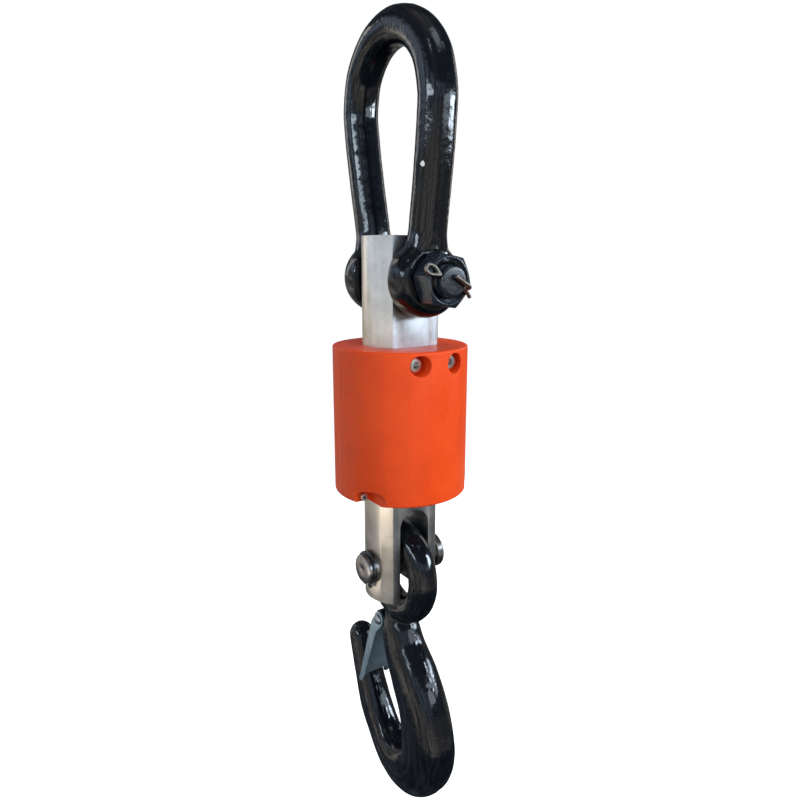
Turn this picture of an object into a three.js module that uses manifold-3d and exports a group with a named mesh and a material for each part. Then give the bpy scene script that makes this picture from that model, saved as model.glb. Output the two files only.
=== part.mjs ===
// Hanging crane scale, 5 tonne class: a bow shackle, a load cell inside a two-shell plastic housing, and an eye hook.
// Millimetres. +Z is up, the shackle bolt lies along X, the hook pin along Y.
// The origin is the inside of the bow's crown, where a crane's hook carries the scale.

import * as THREE from "three";
import { mergeVertices } from "three/addons/utils/BufferGeometryUtils.js";
import { ParametricGeometry } from "three/addons/geometries/ParametricGeometry.js";
import Module from "manifold-3d";

const wasm = await Module();
wasm.setup();

// ---------------------------------------------------------------------------
// Driving dimensions
// ---------------------------------------------------------------------------

const GAP = 0.3; // clearance between pieces that touch

// Shackle
const BAR_RADIUS = 11.7;
const CROWN_RADIUS = 43.6; // of the bar's centre line
const INSIDE_LENGTH = 139.5; // crown to bolt centre
const EAR_RADIUS = 23.5;
const EAR_INNER_X = 20.5;
const EAR_OUTER_X = 38;
const BOLT_RADIUS = 10;
const BOLT_HEAD_THICKNESS = 8;
const BOLT_END_RADIUS = 9;
const BOLT_END_X = 57.8;
const NUT_ACROSS_FLATS = 30;
const NUT_THICKNESS = 15;
const NUT_MOUTH_RADIUS = 13.7;
const NUT_SEAT_RADIUS = 18.6;
const NUT_TURN = 20; // degrees, from a corner at +Y towards +Z
const SPLIT_PIN_RADIUS = 1.9;

// Load cell
const CELL_RADIUS = 25;
const CELL_HALF_THICKNESS = 18; // to each flat
const CELL_ABOVE_BOLT = 27;
const CELL_LENGTH = 247;
const SLOT_HALF_WIDTH = 11.7;
const SLOT_HEIGHT = 65; // from the lower end to the top of its arch
const HOOK_PIN_RADIUS = 10;
const HOOK_PIN_HALF_LENGTH = 31.5;
const HOOK_PIN_ABOVE_END = 22.8;
const GAUGE_POCKET_RADIUS = 12;
const GAUGE_POCKET_DEPTH = 13;

// Housing
const HOUSING_RADIUS = 44.9;
const HOUSING_HEIGHT = 99.2;
const HOUSING_BELOW_BOLT = 42.7;
const WALL = 3.4;
const END_WALL = 5;
const LEAD_RADIUS = 1.2;

// Hook
const EYE_MEAN_RADIUS = 28.5;
const EYE_BAR_RADIUS = 10;

// Levels worked out from the above
const boltZ = -INSIDE_LENGTH;
const cellTop = boltZ + CELL_ABOVE_BOLT;
const cellBottom = cellTop - CELL_LENGTH;
const slotTop = cellBottom + SLOT_HEIGHT;
const pinZ = cellBottom + HOOK_PIN_ABOVE_END;
const housingTop = boltZ - HOUSING_BELOW_BOLT;
const housingBottom = housingTop - HOUSING_HEIGHT;
const housingMiddle = (housingTop + housingBottom) / 2;
const cavityRadius = HOUSING_RADIUS - WALL;
const eyeZ = pinZ + HOOK_PIN_RADIUS + GAP - (EYE_MEAN_RADIUS - EYE_BAR_RADIUS);

// ---------------------------------------------------------------------------
// Materials
// ---------------------------------------------------------------------------

function finish(color, roughness, metalness) {
  return new THREE.MeshStandardMaterial({ color, roughness, metalness });
}

const blackPaint = () => finish(0x11141a, 0.22, 0.3);
const cellSteel = () => finish(0xb9b1a3, 0.38, 1);
const pinSteel = () => finish(0x9a9690, 0.28, 1);
const zincSteel = () => finish(0x8d949b, 0.4, 1);
const stainless = () => finish(0xc8c8c6, 0.25, 1);
const springSteel = () => finish(0x50535a, 0.35, 1);
const orangePlastic = () => finish(0xe2471c, 0.45, 0);
const blackPlastic = () => finish(0x1a1b1d, 0.6, 0);
const blackRubber = () => finish(0x151515, 0.85, 0);
const circuitBoard = () => finish(0x1d5a34, 0.55, 0);
const gaugeFoil = () => finish(0xc98d3a, 0.5, 0.4);
const brass = () => finish(0xb58a3c, 0.35, 1);
const cellWrap = () => finish(0x2f6fb0, 0.5, 0);
const lampLens = () => finish(0x3fae57, 0.2, 0);

// ---------------------------------------------------------------------------
// Solids and booleans
// ---------------------------------------------------------------------------

// A closed geometry as a manifold-3d solid.
function solid(geometry) {
  const bare = geometry.clone();
  bare.deleteAttribute("normal");
  bare.deleteAttribute("uv");
  const merged = mergeVertices(bare, 1e-4);
  const vertProperties = new Float32Array(merged.attributes.position.array);
  const triVerts = withoutSlivers(merged.index.array);
  return new wasm.Manifold(new wasm.Mesh({ numProp: 3, vertProperties, triVerts }));
}

// Triangles that lost a side when equal vertices merged, as at a pole, are dropped.
function withoutSlivers(index) {
  const kept = [];
  for (let i = 0; i < index.length; i += 3) {
    const [a, b, c] = [index[i], index[i + 1], index[i + 2]];
    if (a !== b && b !== c && c !== a) kept.push(a, b, c);
  }
  return new Uint32Array(kept);
}

function meshOf(name, shape, material) {
  const made = shape.isBufferGeometry ? solid(shape) : shape;
  const { vertProperties, triVerts } = made.getMesh();
  const geometry = new THREE.BufferGeometry();
  geometry.setAttribute("position", new THREE.BufferAttribute(vertProperties, 3));
  geometry.setIndex(new THREE.BufferAttribute(triVerts, 1));
  geometry.computeVertexNormals();
  const mesh = new THREE.Mesh(geometry, material);
  mesh.name = name;
  return mesh;
}

const joined = (first, ...others) => others.reduce((sum, next) => sum.add(next), first);
const cutBy = (body, ...tools) => tools.reduce((left, tool) => left.subtract(tool), body);

const TURN_TO = {
  X: (g) => g.rotateZ(-Math.PI / 2),
  Y: (g) => g,
  Z: (g) => g.rotateX(Math.PI / 2),
};

// A body turned about an axis: profile points are [radius, distance along the axis], from low to high.
function turned(axis, profile, segments = 20) {
  const points = profile.map(([radius, along]) => new THREE.Vector2(radius, along));
  return TURN_TO[axis](new THREE.LatheGeometry(points, segments));
}

function rod(axis, radius, from, to, segments = 20) {
  return turned(axis, [[0, from], [radius, from], [radius, to], [0, to]], segments);
}

function ring(axis, inner, outer, from, to, segments = 20) {
  return turned(axis, [[inner, from], [outer, from], [outer, to], [inner, to], [inner, from]], segments);
}

function box([x0, x1], [y0, y1], [z0, z1]) {
  const block = new THREE.BoxGeometry(x1 - x0, y1 - y0, z1 - z0);
  return block.translate((x0 + x1) / 2, (y0 + y1) / 2, (z0 + z1) / 2);
}

// A hexagonal bar along X.
function hexBar(acrossFlats, from, to, turn = 0) {
  const cornerRadius = acrossFlats / Math.sqrt(3);
  const bar = new THREE.CylinderGeometry(cornerRadius, cornerRadius, to - from, 6);
  return bar.rotateZ(-Math.PI / 2).rotateX(turn).translate((from + to) / 2, 0, 0);
}

// A round bar bent along the points.
function bentBar(points, radius, sides = 10, steps = 24) {
  const section = new THREE.Shape().absarc(0, 0, radius, 0, 2 * Math.PI);
  const path = new THREE.CatmullRomCurve3(points);
  return new THREE.ExtrudeGeometry(section, { steps, curveSegments: sides, extrudePath: path });
}

// ---------------------------------------------------------------------------
// Shackle
// ---------------------------------------------------------------------------

// One leg from the ear to the crown's half circle, on the side given by its sign.
function legPoints(side) {
  return [
    [29.6, boltZ + 14],
    [32.9, boltZ + 35],
    [38.3, boltZ + 64],
    [42.6, boltZ + 93],
  ].map(([x, z]) => new THREE.Vector3(side * x, 0, z));
}

function bowCentreLine() {
  const crownZ = BAR_RADIUS - CROWN_RADIUS;
  const crownPoints = [];
  for (let degrees = 180; degrees >= 0; degrees -= 30) {
    const angle = THREE.MathUtils.degToRad(degrees);
    const x = CROWN_RADIUS * Math.cos(angle);
    const z = crownZ + CROWN_RADIUS * Math.sin(angle);
    crownPoints.push(new THREE.Vector3(x, 0, z));
  }
  return [...legPoints(-1), ...crownPoints, ...legPoints(1).reverse()];
}

// The eye at the foot of a leg: a disc about the bolt axis with a domed outer side.
function ear(side) {
  const inner = EAR_INNER_X;
  const outer = EAR_OUTER_X;
  const profile = [
    [0, inner],
    [EAR_RADIUS - 2, inner],
    [EAR_RADIUS, inner + 2.5],
    [EAR_RADIUS, inner + 10],
    [EAR_RADIUS - 2, outer - 2],
    [EAR_RADIUS - 6, outer],
    [0, outer],
  ];
  const disc = turned("X", profile, 24);
  if (side < 0) disc.rotateZ(Math.PI);
  return solid(disc.translate(0, 0, boltZ));
}

// The ears' inner faces are milled flat, and a seat is faced round the bolt on each outer side.
function shackleBow() {
  const bar = solid(bentBar(bowCentreLine(), BAR_RADIUS, 7, 30));
  const bore = solid(rod("X", BOLT_RADIUS + 0.5, -60, 60).translate(0, 0, boltZ));
  const jaw = solid(box([-EAR_INNER_X, EAR_INNER_X], [-40, 40], [boltZ - 40, boltZ + 34]));
  const seats = [[EAR_OUTER_X, 60], [-60, -EAR_OUTER_X]].map(([from, to]) => {
    return solid(rod("X", NUT_SEAT_RADIUS, from, to).translate(0, 0, boltZ));
  });
  return cutBy(joined(bar, ear(-1), ear(1)), bore, jaw, ...seats);
}

const SPLIT_PIN_X = 55;
const SPLIT_PIN_TILT = THREE.MathUtils.degToRad(-24.5); // from +Y towards +Z

function shackleBolt() {
  const headInner = -EAR_OUTER_X - GAP;
  const headOuter = headInner - BOLT_HEAD_THICKNESS;
  const shank = [
    [0, headInner - 1],
    [BOLT_RADIUS, headInner - 1],
    [BOLT_RADIUS, EAR_OUTER_X + 11],
    [BOLT_END_RADIUS, EAR_OUTER_X + 12.5],
    [BOLT_END_RADIUS, BOLT_END_X - 1.2],
    [BOLT_END_RADIUS - 1.2, BOLT_END_X],
    [0, BOLT_END_X],
  ];
  const chamfer = [
    [0, headOuter],
    [NUT_ACROSS_FLATS / 2 - 1, headOuter],
    [NUT_ACROSS_FLATS / 2 + 2.6, headOuter + 2.4],
    [NUT_ACROSS_FLATS / 2 + 2.6, headInner],
    [0, headInner],
  ];
  const head = solid(hexBar(NUT_ACROSS_FLATS, headOuter, headInner)).intersect(solid(turned("X", chamfer)));
  const crossHole = rod("Y", SPLIT_PIN_RADIUS + GAP, -12, 12, 12).translate(SPLIT_PIN_X, 0, 0);
  const bolt = cutBy(joined(solid(turned("X", shank)), head), solid(crossHole.rotateX(SPLIT_PIN_TILT)));
  return meshOf("shackle_bolt", bolt, blackPaint());
}

function shackleNut() {
  const inner = EAR_OUTER_X + GAP;
  const outer = inner + NUT_THICKNESS;
  const corner = NUT_ACROSS_FLATS / 2 + 2.6;
  const chamfer = [
    [0, inner],
    [corner - 1, inner],
    [corner, inner + 1],
    [corner, outer - 2.6],
    [NUT_ACROSS_FLATS / 2 - 0.8, outer],
    [0, outer],
  ];
  const bore = [
    [0, inner - 1],
    [BOLT_RADIUS + GAP, inner - 1],
    [BOLT_RADIUS + GAP, outer - 3.6],
    [NUT_MOUTH_RADIUS, outer],
    [NUT_MOUTH_RADIUS, outer + 1],
    [0, outer + 1],
  ];
  const turn = THREE.MathUtils.degToRad(NUT_TURN);
  const hex = solid(hexBar(NUT_ACROSS_FLATS, inner, outer, turn)).intersect(solid(turned("X", chamfer)));
  return meshOf("shackle_nut", cutBy(hex, solid(turned("X", bore))), blackPaint());
}

// The split pin: an open eye, a straight shank through the bolt and two legs.
// One leg is bent back over the bolt's end.
function splitPin() {
  const r = SPLIT_PIN_RADIUS;
  const x = SPLIT_PIN_X;
  const legRadius = r * 0.62;
  const shank = rod("Y", r, -11, 9.6, 8).translate(x, 0, 0);
  const eye = new THREE.TorusGeometry(3, legRadius, 6, 12);
  eye.rotateY(Math.PI / 2).scale(1, 1.35, 1).translate(x, -14.6, 0);
  const straightLeg = bentBar(
    [new THREE.Vector3(x, 8.6, -0.4), new THREE.Vector3(x - 0.3, 12, -1), new THREE.Vector3(x - 1, 17.2, -3)],
    legRadius,
    3,
    4,
  );
  const foldedLeg = bentBar(
    [
      new THREE.Vector3(x, 8.8, 0.4),
      new THREE.Vector3(x + 2.6, 11.6, 0.6),
      new THREE.Vector3(x + 4.6, 9.6, 1),
      new THREE.Vector3(x + 4.8, 4, 1.6),
      new THREE.Vector3(x + 4.8, -0.6, 2),
    ],
    legRadius,
    3,
    10,
  );
  const pieces = [shank, eye, straightLeg, foldedLeg].map((piece) => solid(piece.rotateX(SPLIT_PIN_TILT)));
  return meshOf("split_pin", joined(...pieces), pinSteel());
}

// ---------------------------------------------------------------------------
// Load cell
// ---------------------------------------------------------------------------

// A round bar's outline with two flats that face X, grown all round by the offset.
function cellOutline(offset = 0) {
  const radius = CELL_RADIUS + offset;
  const flat = Math.acos((CELL_HALF_THICKNESS + offset) / radius);
  const outline = new THREE.Shape();
  outline.absarc(0, 0, radius, flat, Math.PI - flat);
  outline.absarc(0, 0, radius, Math.PI + flat, 2 * Math.PI - flat);
  return outline;
}

function cellPrism(offset, from, to) {
  const settings = { depth: to - from, bevelEnabled: false, curveSegments: 8 };
  return new THREE.ExtrudeGeometry(cellOutline(offset), settings).translate(0, 0, from);
}

// An arched slot through both flats, open at the lower end.
function clevisSlot() {
  const reach = CELL_HALF_THICKNESS + 5;
  const archZ = slotTop - SLOT_HALF_WIDTH;
  const arch = solid(rod("X", SLOT_HALF_WIDTH, -reach, reach, 24).translate(0, 0, archZ));
  const sides = solid(box([-reach, reach], [-SLOT_HALF_WIDTH, SLOT_HALF_WIDTH], [cellBottom - 5, archZ]));
  return arch.add(sides);
}

// Positions of the housing's upper screws, which are threaded into the flats.
const UPPER_SCREW_Y = 12.9;
const UPPER_SCREW_Z = housingTop - 8.6;
const SIDES = { front: 1, rear: -1 };
const HANDS = { left: -1, right: 1 };

function loadCellBody() {
  const boltBore = rod("X", BOLT_RADIUS + 0.7, -40, 40).translate(0, 0, boltZ);
  const pinBore = rod("Y", HOOK_PIN_RADIUS + GAP, -40, 40).translate(0, 0, pinZ);
  const wireHole = rod("X", 1.5, -20, 20, 12).translate(0, 0, housingMiddle);
  const tools = [boltBore, pinBore, wireHole].map(solid);
  tools.push(clevisSlot());
  for (const side of Object.values(SIDES)) {
    const floor = side * (CELL_HALF_THICKNESS - GAUGE_POCKET_DEPTH);
    const mouth = side * (CELL_HALF_THICKNESS + 4);
    const [low, high] = [Math.min(floor, mouth), Math.max(floor, mouth)];
    tools.push(solid(rod("X", GAUGE_POCKET_RADIUS, low, high).translate(0, 0, housingMiddle)));
    for (const hand of Object.values(HANDS)) {
      const tip = side * (CELL_HALF_THICKNESS - 9);
      const hole = rod("X", UPPER_SCREW_RADIUS + GAP, Math.min(tip, mouth), Math.max(tip, mouth), 14);
      tools.push(solid(hole.translate(0, hand * UPPER_SCREW_Y, UPPER_SCREW_Z)));
    }
  }
  return meshOf("load_cell_body", cutBy(solid(cellPrism(0, cellBottom, cellTop)), ...tools), cellSteel());
}

// Foil strain gauges on the pocket floors, one above and one below the web's middle.
function strainGauges() {
  const floor = CELL_HALF_THICKNESS - GAUGE_POCKET_DEPTH + GAP;
  const meshes = [];
  for (const [sideName, side] of Object.entries(SIDES)) {
    for (const [level, up] of [["upper", 1], ["lower", -1]]) {
      const foil = new THREE.BoxGeometry(0.5, 8, 6);
      foil.translate(side * (floor + 0.25), 0, housingMiddle + up * 6);
      meshes.push(meshOf("strain_gauge_" + sideName + "_" + level, foil, gaugeFoil()));
    }
  }
  return meshes;
}

// Round covers pressed into the pocket mouths. The front one lets the gauge lead out.
function gaugeCovers() {
  return Object.entries(SIDES).map(([sideName, side]) => {
    const inner = side * (CELL_HALF_THICKNESS - 2.5);
    const outer = side * (CELL_HALF_THICKNESS - 0.5);
    const disc = rod("X", GAUGE_POCKET_RADIUS - GAP, Math.min(inner, outer), Math.max(inner, outer));
    const leadHole = rod("X", LEAD_RADIUS + GAP, 0, 25, 8);
    const cover = side > 0 ? solid(disc).subtract(solid(leadHole)) : solid(disc);
    return meshOf("gauge_cover_" + sideName, cover.translate([0, 0, housingMiddle]), stainless());
  });
}

// ---------------------------------------------------------------------------
// Hook pin and its circlip
// ---------------------------------------------------------------------------

const CIRCLIP_Y = 27;
const CIRCLIP_THICKNESS = 1.75;
const CIRCLIP_GROOVE_RADIUS = 9;
const CIRCLIP_OUTER_RADIUS = 11.8;
const HOOK_PIN_HEAD_RADIUS = 12.5;
const HOOK_PIN_HEAD_FROM = CELL_RADIUS + 0.4;
const HOOK_PIN_HEAD_TO = 30.8;
const CIRCLIP_LUG = { radius: 1.9, across: 3.5, down: 11.8, eyelet: 0.8 };
const CIRCLIP_OPENING_HALF = 1.6;

// The pin has a head on its right and a groove for the circlip near its left end.
function hookPin() {
  const end = -HOOK_PIN_HALF_LENGTH;
  const radius = HOOK_PIN_RADIUS;
  const grooveHalf = CIRCLIP_THICKNESS / 2 + GAP;
  const profile = [
    [0, end],
    [radius - 1, end],
    [radius, end + 1],
    [radius, -CIRCLIP_Y - grooveHalf],
    [CIRCLIP_GROOVE_RADIUS, -CIRCLIP_Y - grooveHalf],
    [CIRCLIP_GROOVE_RADIUS, -CIRCLIP_Y + grooveHalf],
    [radius, -CIRCLIP_Y + grooveHalf],
    [radius, HOOK_PIN_HEAD_FROM],
    [HOOK_PIN_HEAD_RADIUS, HOOK_PIN_HEAD_FROM],
    [HOOK_PIN_HEAD_RADIUS, HOOK_PIN_HEAD_TO - 1.2],
    [HOOK_PIN_HEAD_RADIUS - 1.2, HOOK_PIN_HEAD_TO],
    [0, HOOK_PIN_HEAD_TO],
  ];
  return meshOf("hook_pin", turned("Y", profile).translate(0, 0, pinZ), pinSteel());
}

// The circlip is a ring open at its foot, with a drilled lug on each side of the opening.
function circlip() {
  const from = -CIRCLIP_Y - CIRCLIP_THICKNESS / 2;
  const to = -CIRCLIP_Y + CIRCLIP_THICKNESS / 2;
  const band = solid(ring("Y", CIRCLIP_GROOVE_RADIUS + GAP, CIRCLIP_OUTER_RADIUS, from, to, 24));
  const opening = solid(box([-CIRCLIP_OPENING_HALF, CIRCLIP_OPENING_HALF], [from - 1, to + 1], [-20, 0]));
  const { radius, across, down, eyelet: eyeletRadius } = CIRCLIP_LUG;
  const lug = (side) => solid(rod("Y", radius, from, to, 8).translate(side * across, 0, -down));
  const eyelet = (side) => solid(rod("Y", eyeletRadius, from - 1, to + 1, 6).translate(side * across, 0, -down));
  const clip = cutBy(joined(band, lug(-1), lug(1)), opening, eyelet(-1), eyelet(1));
  return meshOf("circlip", clip.translate([0, 0, pinZ]), springSteel());
}

// ---------------------------------------------------------------------------
// Hook, latch, latch pin and spring
// ---------------------------------------------------------------------------

// The bowl is an arc about this point, which the back leads into and the tip leaves.
const BOWL = { x: 3, z: eyeZ - 123.2, radius: 33.4 };

// Centre line of the forging, with half the section's depth in the hook's plane, from the eye to the tip.
function hookStations() {
  const stations = [
    { x: 0, z: eyeZ - EYE_MEAN_RADIUS, depth: 11 },
    { x: 0.9, z: eyeZ - 43, depth: 13.2 },
    { x: 6.2, z: eyeZ - 58, depth: 16.5 },
    { x: 19, z: eyeZ - 76, depth: 19 },
    { x: 31.3, z: eyeZ - 98, depth: 19.9 },
  ];
  for (let degrees = 0; degrees >= -135; degrees -= 27) {
    const angle = THREE.MathUtils.degToRad(degrees);
    const progress = -degrees / 135;
    stations.push({
      x: BOWL.x + BOWL.radius * Math.cos(angle),
      z: BOWL.z + BOWL.radius * Math.sin(angle),
      depth: 20.8 - 7.6 * progress ** 1.5,
    });
  }
  stations.push({ x: -34.8, z: eyeZ - 129.5, depth: 12.8 });
  stations.push({ x: -46, z: eyeZ - 106, depth: 10.9 });
  stations.push({ x: -57, z: eyeZ - 79, depth: 8.4 });
  stations.push({ x: -60, z: eyeZ - 71.2, depth: 7.9 });
  return stations;
}

// Half the section's thickness across the hook's plane grows with its depth.
const hookThickness = (depth) => 4.3 + 0.58 * depth;

// A lofted bar of oval section whose ends close in domes.
function hookForging() {
  const stations = hookStations();
  const centre = new THREE.CatmullRomCurve3(stations.map(({ x, z }) => new THREE.Vector3(x, 0, z)));
  const depths = new THREE.CatmullRomCurve3(stations.map(({ depth }, i) => new THREE.Vector3(depth, i, 0)));
  const eyeDome = 0.015; // share of the length that rounds the end inside the eye
  const tipDome = 0.07;
  const surface = (v, u, target) => {
    const t = u;
    const fromEnd = Math.min(t / eyeDome, (1 - t) / tipDome);
    const shrink = fromEnd < 1 ? Math.sqrt(Math.max(0, 1 - (1 - fromEnd) ** 2)) : 1;
    const place = centre.getPoint(t);
    const along = centre.getTangent(t);
    const depth = depths.getPoint(t).x;
    const angle = 2 * Math.PI * v;
    const inPlane = depth * shrink * Math.cos(angle);
    target.set(
      place.x + along.z * inPlane,
      hookThickness(depth) * shrink * Math.sin(angle),
      place.z - along.x * inPlane,
    );
  };
  return new ParametricGeometry(surface, 12, 38);
}

const LATCH_PIVOT = { x: -13.5, z: eyeZ - 43.5 };
const LATCH_LUG_HALF = 8;
const LATCH_SHEET = 1.8;
const LATCH_HALF_WIDTH = 12.2; // at its foot
const LATCH_LENGTH = 69;
const LATCH_LEAN = THREE.MathUtils.degToRad(18.5); // from straight down towards the tip
const LATCH_PIN_RADIUS = 2.5;
const LATCH_ROOM_RADIUS = 8.6; // cut round the pivot for the latch's ears and its spring
const LATCH_WEB_TOP = 8; // below the pivot
const SPRING_ROOM_HALF = 3.2;

function hook() {
  const eye = new THREE.TorusGeometry(EYE_MEAN_RADIUS, EYE_BAR_RADIUS, 12, 26);
  eye.rotateX(Math.PI / 2).translate(0, 0, eyeZ);
  const atPivot = (shape) => shape.translate(LATCH_PIVOT.x, 0, LATCH_PIVOT.z);
  const lug = atPivot(rod("Y", 6.5, -LATCH_LUG_HALF, LATCH_LUG_HALF, 20));
  const springRoom = atPivot(rod("Y", LATCH_ROOM_RADIUS, -SPRING_ROOM_HALF, SPRING_ROOM_HALF, 20));
  const lugHole = atPivot(rod("Y", LATCH_PIN_RADIUS + GAP, -30, 30, 16));
  const earRoom = [-1, 1].map((side) => {
    const from = side * (LATCH_LUG_HALF + 0.1);
    const to = side * 20;
    return solid(atPivot(rod("Y", LATCH_ROOM_RADIUS, Math.min(from, to), Math.max(from, to), 20)));
  });
  const body = cutBy(joined(solid(eye), solid(hookForging())), ...earRoom);
  return meshOf("hook", cutBy(body.add(solid(lug)), solid(springRoom), solid(lugHole)), blackPaint());
}

// The latch is a pressed channel: a web that closes the throat, a flange on each edge and two ears on the pin.
// It is drawn hanging straight down from the pivot and then leant towards the tip.
function hookLatch() {
  const innerHalf = LATCH_LUG_HALF + 2 * GAP;
  const flange = (side) => {
    const outline = new THREE.Shape();
    outline.moveTo(-7.4, -8);
    outline.lineTo(-5.4, 0);
    outline.absarc(0, 0, 5.4, Math.PI, 0, true);
    outline.lineTo(1, -12);
    outline.lineTo(-0.4, -LATCH_LENGTH + 6);
    outline.lineTo(-5, -LATCH_LENGTH - 1);
    const settings = { depth: LATCH_SHEET, bevelEnabled: false, curveSegments: 10 };
    const plate = new THREE.ExtrudeGeometry(outline, settings).rotateX(Math.PI / 2);
    // The flanges spread from the ears' width to the foot's.
    const spread = Math.atan((LATCH_HALF_WIDTH - innerHalf - LATCH_SHEET) / LATCH_LENGTH);
    if (side > 0) plate.translate(0, innerHalf + LATCH_SHEET, 0);
    else plate.translate(0, -innerHalf, 0);
    return solid(plate.rotateX(side * spread));
  };
  const webHalfTop = innerHalf + 0.9;
  const webHalfFoot = LATCH_HALF_WIDTH - 0.9;
  const web = new THREE.Shape();
  web.moveTo(-webHalfTop, -LATCH_WEB_TOP);
  web.lineTo(webHalfTop, -LATCH_WEB_TOP);
  web.lineTo(webHalfFoot, -LATCH_LENGTH + 6);
  web.quadraticCurveTo(0, -LATCH_LENGTH + 10, -webHalfFoot, -LATCH_LENGTH + 6);
  const sheet = new THREE.ExtrudeGeometry(web, { depth: LATCH_SHEET, bevelEnabled: false, curveSegments: 8 });
  sheet.rotateX(Math.PI / 2).rotateZ(-Math.PI / 2).translate(-1.4, 0, 0);
  const pinHole = rod("Y", LATCH_PIN_RADIUS + GAP, -30, 30, 16);
  const latch = cutBy(joined(solid(sheet), flange(-1), flange(1)), solid(pinHole));
  const leant = latch.rotate([0, THREE.MathUtils.radToDeg(LATCH_LEAN), 0]);
  return meshOf("hook_latch", leant.translate([LATCH_PIVOT.x, 0, LATCH_PIVOT.z]), zincSteel());
}

function latchPin() {
  const shankHalf = LATCH_LUG_HALF + 2 * GAP + LATCH_SHEET + GAP;
  const headHalf = shankHalf + 1.8;
  const profile = [
    [0, -headHalf],
    [3, -headHalf],
    [3.9, -headHalf + 0.8],
    [3.9, -shankHalf],
    [LATCH_PIN_RADIUS, -shankHalf],
    [LATCH_PIN_RADIUS, shankHalf],
    [3.9, shankHalf],
    [3.9, headHalf - 0.8],
    [3, headHalf],
    [0, headHalf],
  ];
  return meshOf("latch_pin", turned("Y", profile, 14).translate(LATCH_PIVOT.x, 0, LATCH_PIVOT.z), zincSteel());
}

// A torsion spring in the lug's slot. One leg presses on the web, the other on the hook's neck.
function latchSpring() {
  const wire = 0.65;
  const coilHalf = SPRING_ROOM_HALF - GAP;
  const inner = LATCH_PIN_RADIUS + GAP;
  const coil = ring("Y", inner, inner + 2 * wire, -coilHalf, coilHalf, 14);
  const reach = inner + wire;
  const leg = (from, to) => bentBar([new THREE.Vector3(...from), new THREE.Vector3(...to)], wire, 4, 3);
  const webLeg = leg([reach, 0, 0], [-0.4, 0, -LATCH_WEB_TOP - 1]).rotateY(LATCH_LEAN).translate(0, coilHalf - 1, 0);
  const neckLeg = leg([-reach, 0, 0], [0.4 - reach, 0, 5.6]).translate(0, 1 - coilHalf, 0);
  const spring = joined(...[coil, webLeg, neckLeg].map(solid));
  return meshOf("latch_spring", spring.translate([LATCH_PIVOT.x, 0, LATCH_PIVOT.z]), springSteel());
}

// ---------------------------------------------------------------------------
// Housing: front shell on +X, rear shell on -X, held to the cell and to each other by screws
// ---------------------------------------------------------------------------

const SPLIT_GAP = 0.15; // from the parting plane to each shell
const RECESS_RADIUS = 6.7;
const UPPER_SEAT_X = 32.5;
const UPPER_SCREW_RADIUS = 2.5;
const UPPER_BOSS_RADIUS = 8.2;
const LOWER_SCREW = { y: 37.8, z: housingBottom + 3.6, radius: 1.5 };
const LOWER_SEAT_X = 12.4;
const LOWER_RECESS_RADIUS = 6;
const INSERT_RADIUS = 2.3;
const INSERT_LENGTH = 6;
const SEAL_INSET = 1.8; // from the housing's end faces
const SEAL_THICKNESS = 1.6;
const SEAL_WIDTH = 2.4;
const BOARD_X = 27;
const BOARD_THICKNESS = 1.6;
const BOARD_HALF_WIDTH = 24;
const BOARD_Z = [housingBottom + 15.4, housingTop - 22.8];
const BOARD_SCREW_Y = 20;
const BOARD_SCREW_Z = [BOARD_Z[0] + 8, BOARD_Z[1] - 7];
const BUTTON_Z = housingTop - 20;
const BUTTON_RADIUS = 5;
const LAMP_Z = UPPER_SCREW_Z;
const LAMP_RADIUS = 2.2;
const CHARGE_AZIMUTH = 128; // degrees from +X towards +Y
const CHARGE_Z = housingTop - 50;
const CHARGE_BARREL_RADIUS = 5.7;

// A quarter round in a turned profile, from the first angle to the second, in degrees.
function roundEdge(centreRadius, centreAlong, radius, from, to) {
  const points = [];
  for (let step = 0; step <= 2; step += 1) {
    const angle = THREE.MathUtils.degToRad(from + ((to - from) * step) / 2);
    points.push([centreRadius + radius * Math.cos(angle), centreAlong + radius * Math.sin(angle)]);
  }
  return points;
}

function housingOutside() {
  const edge = 1.5;
  const profile = [
    [0, housingBottom],
    ...roundEdge(HOUSING_RADIUS - edge, housingBottom + edge, edge, -90, 0),
    ...roundEdge(HOUSING_RADIUS - edge, housingTop - edge, edge, 0, 90),
    [0, housingTop],
  ];
  return solid(turned("Z", profile, 40));
}

// A piece drawn along +X on the front shell's side, turned to the given side.
const facing = (side, shape) => (side < 0 ? shape.rotate([0, 0, 180]) : shape);

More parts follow.
